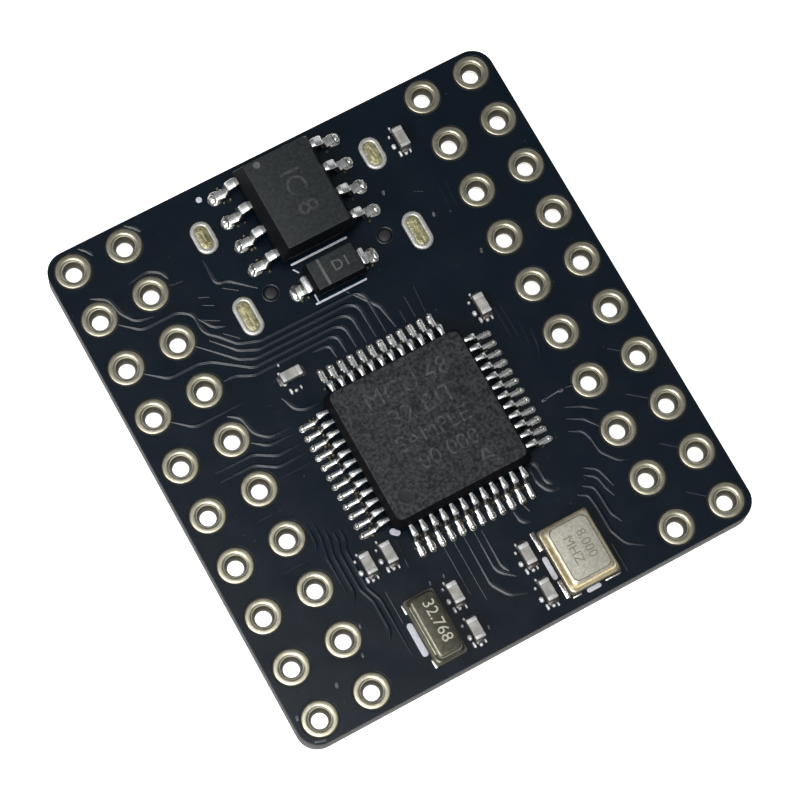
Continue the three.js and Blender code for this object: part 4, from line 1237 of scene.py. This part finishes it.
def build_usb_contacts():
    """Gold strips on both faces of the tongue; those on the board's side run on to soldered tails."""
    end = TONGUE_END - CONTACT_SETBACK
    bend = shell_low.y + USB_WALL
    quarter_turn = spin(math.pi / 2)
    for node, sign in (("usb_contacts_board_side", 1), ("usb_contacts_outer_side", -1)):
        strips = []
        surface = USB_LEVEL + sign * TONGUE_HALF
        low, high = surface - CONTACT_HALF, surface + CONTACT_HALF
        for x in CONTACT_PLACES:
            middle = (x, (end + BLOCK_END) / 2)
            strips.append(slab(CONTACT_WIDTH, end - BLOCK_END, 0.05, low, high, 0.02, 3, middle))
            if sign > 0:
                foot = BOTTOM - TAIL_LIFT
                corners = [(bend, USB_LEVEL + TAIL_RISE), (bend, foot), (box_mm(node)[0].y, foot)]
                tail = filleted(corners, 0.2, 5)
                swept = sweep(tail, rounded(CONTACT_WIDTH, TAIL_THICKNESS, 0.04, 2), end_scale=0.85)
                strips.append(moved(swept, shift(x, 0, 0) @ quarter_turn))
        add_piece(node + "_plated", strips, "contact", [node])
    rng = random.Random(SEED)
    drops = []
    for x in CONTACT_PLACES:
        place = face_spot(x, shell_low.y - TAIL_SOLDER_SETBACK, False, -math.pi / 2)
        drop = solder_mound(*TAIL_SOLDER, rng)
        drops.append(moved(drop, place @ shift(0, 0, -SOLDER_FILM)))
    add_piece("usb_tail_solder", drops, "solder")


def build_leg_solder():
    """On the upper face each leg ends in a silver ring round a lumpy fill of solder."""
    rng = random.Random(SEED + 3)
    for node in LEG_SOLDER_NODES:
        rings = [lifted(slot_outline(node, inset, 9), TOP + z) for inset, z in LEG_RING]
        add_piece(node + "_ring", [loft(rings, closed=True)], "slot_ring", sharp=60)
        fill = []
        for inset, rise in LEG_FILL:
            jitter = LEG_FILL_ROUGHNESS if inset > LEG_FILL[0][0] else 0.0
            fill.append([Vector((x, y, TOP + rise + rng.uniform(-jitter, jitter)))
                         for x, y in slot_outline(node, inset, 9)])
        add_piece(node + "_fill", [loft(fill)], "leg_solder", [node], sharp=70)


# -------- push buttons and lights
BUTTON_BASE_HEIGHT = 0.93
# (radius, height) outlines from the board's face up.
WELL = ((1.35, 0.9), (1.35, 1.0), (1.15, 1.01), (1.12, 0.96), (1.12, 0.35))
DOME_RADIUS = 1.08
DOME_FOOT = 0.35
DOME_RISE = 0.17
PLUNGER_FLANGE = (
    (1.02, 0.79), (1.05, 0.82), (1.05, 1.01), (1.02, 1.03), (0.82, 1.03), (0.8, 1.06), (0.8, 1.84))
PLUNGER_EDGE = 0.14
PLUNGER_DISH = ((0.5, 1.975), (0.4, 1.965), (0.02, 1.96))
COVER_TOP = 1.2
COVER_FOOT = 0.25
COVER_SHEET = 0.15
COVER_SOFT = 0.07
# The hole in the cover, as (radius, depth below its top).
COVER_HOLE = ((0.98, 0.0), (0.93, 0.02), (0.91, 0.06), (0.91, COVER_SHEET))
CORNER_STEPS = 7
TERMINAL_PLACE = 1.35
TERMINAL_THICKNESS = 0.15
# A terminal's drop of solder: start, end, width and height.
TERMINAL_SOLDER = (1.55, 2.2, 0.75, 0.16)
LIGHT_END = 0.2
LIGHT_BLOCK_SHORTER = 0.3
# How far a light's solder runs under its end and beyond it.
LIGHT_SOLDER_REACH = (0.1, 0.28)
LIGHT_SOLDER_NARROWER = 0.95
LIGHT_SOLDER_HEIGHT = 0.2


def cover_rings(size):
    """The pressed cover's skin: up its outside, over the soft edge, into the hole and down its inside."""
    soft, top = COVER_SOFT, COVER_TOP
    outer = ((0.02, 0.25, COVER_FOOT), (0.0, 0.25, COVER_FOOT + 0.04), (0.0, 0.25, top - soft),
             (soft * 0.6, 0.24, top - soft * 0.3), (soft * 2, 0.2, top))
    inner = ((2 * COVER_SHEET, 0.12, top - COVER_SHEET), (2 * COVER_SHEET, 0.12, COVER_FOOT))

    def skin(sections):
        return [lifted(rounded(size.x - less, size.y - less, corner, CORNER_STEPS), z)
                for less, corner, z in sections]

    rings = skin(outer)
    angles = [math.atan2(point.y, point.x) for point in rings[-1]]
    for radius, depth in COVER_HOLE:
        rings.append([Vector((radius * math.cos(a), radius * math.sin(a), top - depth)) for a in angles])
    return rings + skin(inner)


def quarter_arc(steps, in_all):
    """The angles of some of the steps that a quarter turn is divided into."""
    return [step * math.pi / 2 / in_all for step in steps]


def build_button(name, body):
    base = size_mm(name + "_base")
    matrix = spot(name + "_cover")

    def add(part, shells, material, part_body=BODY):
        node = f"{name}_{part}"
        made = "moulded" if material != "steel" else "pressed"
        placed = [moved(shell, matrix) for shell in shells]
        add_piece(f"{node}_{made}", placed, material, [node], part_body)

    block = slab(base.x, base.y, 0.1, 0.0, BUTTON_BASE_HEIGHT, 0.03)
    add("base", [block, revolve(WELL, 32)], "black_plastic")
    add("cover", [loft(cover_rings(size_mm(name + "_cover")), closed=True)], "steel")
    dome = [(DOME_RADIUS, DOME_FOOT - 0.02)]
    for a in quarter_arc(range(8), 8):
        dome.append((DOME_RADIUS * math.cos(a), DOME_FOOT + DOME_RISE * math.sin(a)))
    dome.append((0.02, DOME_FOOT + DOME_RISE))
    add("dome", [revolve(dome, 36)], "steel")
    stem = list(PLUNGER_FLANGE)
    radius, height = PLUNGER_FLANGE[-1]
    for a in quarter_arc(range(1, 7), 6):
        stem.append((radius - PLUNGER_EDGE + PLUNGER_EDGE * math.cos(a), height + PLUNGER_EDGE * math.sin(a)))
    add("plunger", [revolve(stem + list(PLUNGER_DISH), 40)], "plunger", body)
    build_terminals(name, matrix)


def build_terminals(name, matrix):
    """A button's two contact strips, each soldered at both ends."""
    rng = random.Random(SEED + len(name))
    for end, side in (("far", -1), ("near", 1)):
        node = f"{name}_terminal_{end}"
        size = size_mm(node)
        at = matrix @ shift(0, side * TERMINAL_PLACE, 0)
        strip = slab(size.x, size.y, 0.06, 0.0, TERMINAL_THICKNESS, 0.03)
        add_piece(node + "_pressed", [moved(strip, at)], "lead", [node])
        drops = []
        for turn in (0, math.pi):
            drop = solder_mound(*TERMINAL_SOLDER, rng)
            drops.append(moved(drop, at @ spin(turn)))
        add_piece(node + "_solder", drops, "solder")


def build_light(name):
    base, lens = size_mm(name + "_base"), size_mm(name + "_lens")
    matrix = spot(name + "_base")
    block = slab(base.x - LIGHT_BLOCK_SHORTER, base.y, 0.02, 0.0, base.z, 0.015)
    add_piece(name + "_base_cut", [moved(block, matrix)], "light_base", [name + "_base"])
    dome = slab(lens.x, lens.y, 0.06, base.z, base.z + SOLDER_FILM + lens.z, 0.05, 5)
    add_piece(name + "_lens_cast", [moved(dome, matrix)], "light_lens", [name + "_lens"])
    rng = random.Random(SEED + len(name))
    ends, drops = [], []
    for side in (-1, 1):
        end = slab(LIGHT_END, base.y + 0.01, 0.03, 0.0, base.z + 0.01, 0.02)
        ends.append(moved(end, matrix @ shift(side * (base.x / 2 - LIGHT_END / 2), 0, 0)))
        inner, outer = base.x / 2 - LIGHT_SOLDER_REACH[0], base.x / 2 + LIGHT_SOLDER_REACH[1]
        drop = solder_mound(inner, outer, base.y * LIGHT_SOLDER_NARROWER, LIGHT_SOLDER_HEIGHT, rng)
        drops.append(moved(drop, outward_turn(matrix, side)))
    add_piece(name + "_ends", ends, "contact")
    add_piece(name + "_solder", drops, "solder")


# -------- stage, light and camera
FLOOR_HALF = 1.5


def build_stage():
    """A white floor that the board rests on."""
    mesh = bpy.data.meshes.new("floor")
    corners = [(x * FLOOR_HALF, y * FLOOR_HALF, 0) for x, y in ((-1, -1), (1, -1), (1, 1), (-1, 1))]
    mesh.from_pydata(corners, [], [(0, 1, 2, 3)])
    floor = bpy.data.objects.new("floor", mesh)
    bpy.context.scene.collection.objects.link(floor)
    material = bpy.data.materials.new("floor_white")
    material.use_nodes = True
    shader = material.node_tree.nodes["Principled BSDF"]
    shader.inputs["Base Color"].default_value = (0.85, 0.85, 0.85, 1)
    shader.inputs["Roughness"].default_value = 0.9
    shader.inputs["Emission Color"].default_value = (1, 1, 1, 1)
    shader.inputs["Emission Strength"].default_value = 0.9
    mesh.materials.append(material)


LIGHT_SIDE = (-0.68, -0.42, 0.6)
# Brightness, as the span it is read from and the span it is carried to.
ROOM_GLOW = ((0.1, 1.0), (0.06, 0.53))
HORIZON_GLOW = ((0.1, 0.25), (1.0, 0.0))


def build_sky():
    """A soft room: a pale backdrop round the horizon, and brighter on the side the light comes from."""
    world = bpy.data.worlds.new("studio")
    bpy.context.scene.world = world
    world.use_nodes = True
    tree = world.node_tree
    nodes, links = tree.nodes, tree.links
    place = nodes.new("ShaderNodeTexCoord")
    facing = nodes.new("ShaderNodeVectorMath")
    facing.operation = "DOT_PRODUCT"
    facing.inputs[1].default_value = LIGHT_SIDE
    links.new(place.outputs["Generated"], facing.inputs[0])
    room = add_range(tree, facing.outputs["Value"], *ROOM_GLOW)
    horizon = add_range(tree, add_split(tree, place.outputs["Generated"])["Z"], *HORIZON_GLOW)
    brighter = nodes.new("ShaderNodeMath")
    brighter.operation = "MAXIMUM"
    links.new(room, brighter.inputs[0])
    links.new(horizon, brighter.inputs[1])
    links.new(brighter.outputs["Value"], nodes["Background"].inputs["Strength"])
    nodes["Background"].inputs["Color"].default_value = (0.96, 0.98, 1.0, 1)


def add_panel(name, place, width, height, radiance):
    """A soft box at a place in millimetres that looks at the middle of the board."""
    lamp = bpy.data.lights.new(name, "AREA")
    lamp.shape = "RECTANGLE"
    lamp.size = width * MM
    lamp.size_y = height * MM
    lamp.energy = radiance * math.pi * width * height * MM ** 2
    panel = bpy.data.objects.new(name, lamp)
    panel.location = Vector(place) * MM
    panel.rotation_euler = Vector(place).to_track_quat("Z", "Y").to_euler()
    bpy.context.scene.collection.objects.link(panel)


# Name, place, width, height and radiance.
PANELS = (
    ("key_panel", (-117, -50, 124), 190, 85, 5.0),
    ("upper_panel", (-37, -23, 258), 105, 105, 5.4),
    ("fill_panel", (170, 120, 160), 120, 120, 0.8),
)


CAMERA_PLACE = (-24.228, -30.764, 128.03)
CAMERA_TURN = (16.5053, -2.8329, -29.0494)
CAMERA_LENS = 136.45


def build_camera():
    """The photographer's view: place in millimetres from the middle of the upper face."""
    data = bpy.data.cameras.new("camera")
    data.lens = CAMERA_LENS
    data.sensor_width = 36.0
    data.clip_start = 0.005
    data.clip_end = 10.0
    camera = bpy.data.objects.new("camera", data)
    camera.location = Vector((*CAMERA_PLACE[:2], CAMERA_PLACE[2] + TOP)) * MM
    camera.rotation_euler = Euler([math.radians(angle) for angle in CAMERA_TURN])
    bpy.context.scene.collection.objects.link(camera)
    bpy.context.scene.camera = camera


build_camera()
build_board()
build_traces()
build_printing()
build_wear()
build_peg_rims()
build_controller()
build_memory_chip()
build_diode()
build_regulator()
build_watch_crystal()
build_main_crystal()
build_crystal_solder()
build_chips()
build_usb_shell()
build_usb_inside()
build_usb_contacts()
build_leg_solder()
for button in ("reset", "boot"):
    build_button(button + "_button", button + "_plunger")
for light in ("power_light", "user_light"):
    build_light(light)
build_stage()
build_sky()
for panel in PANELS:
    add_panel(*panel)
bpy.context.scene.view_settings.view_transform = "Standard"

bpy.context.view_layer.update()
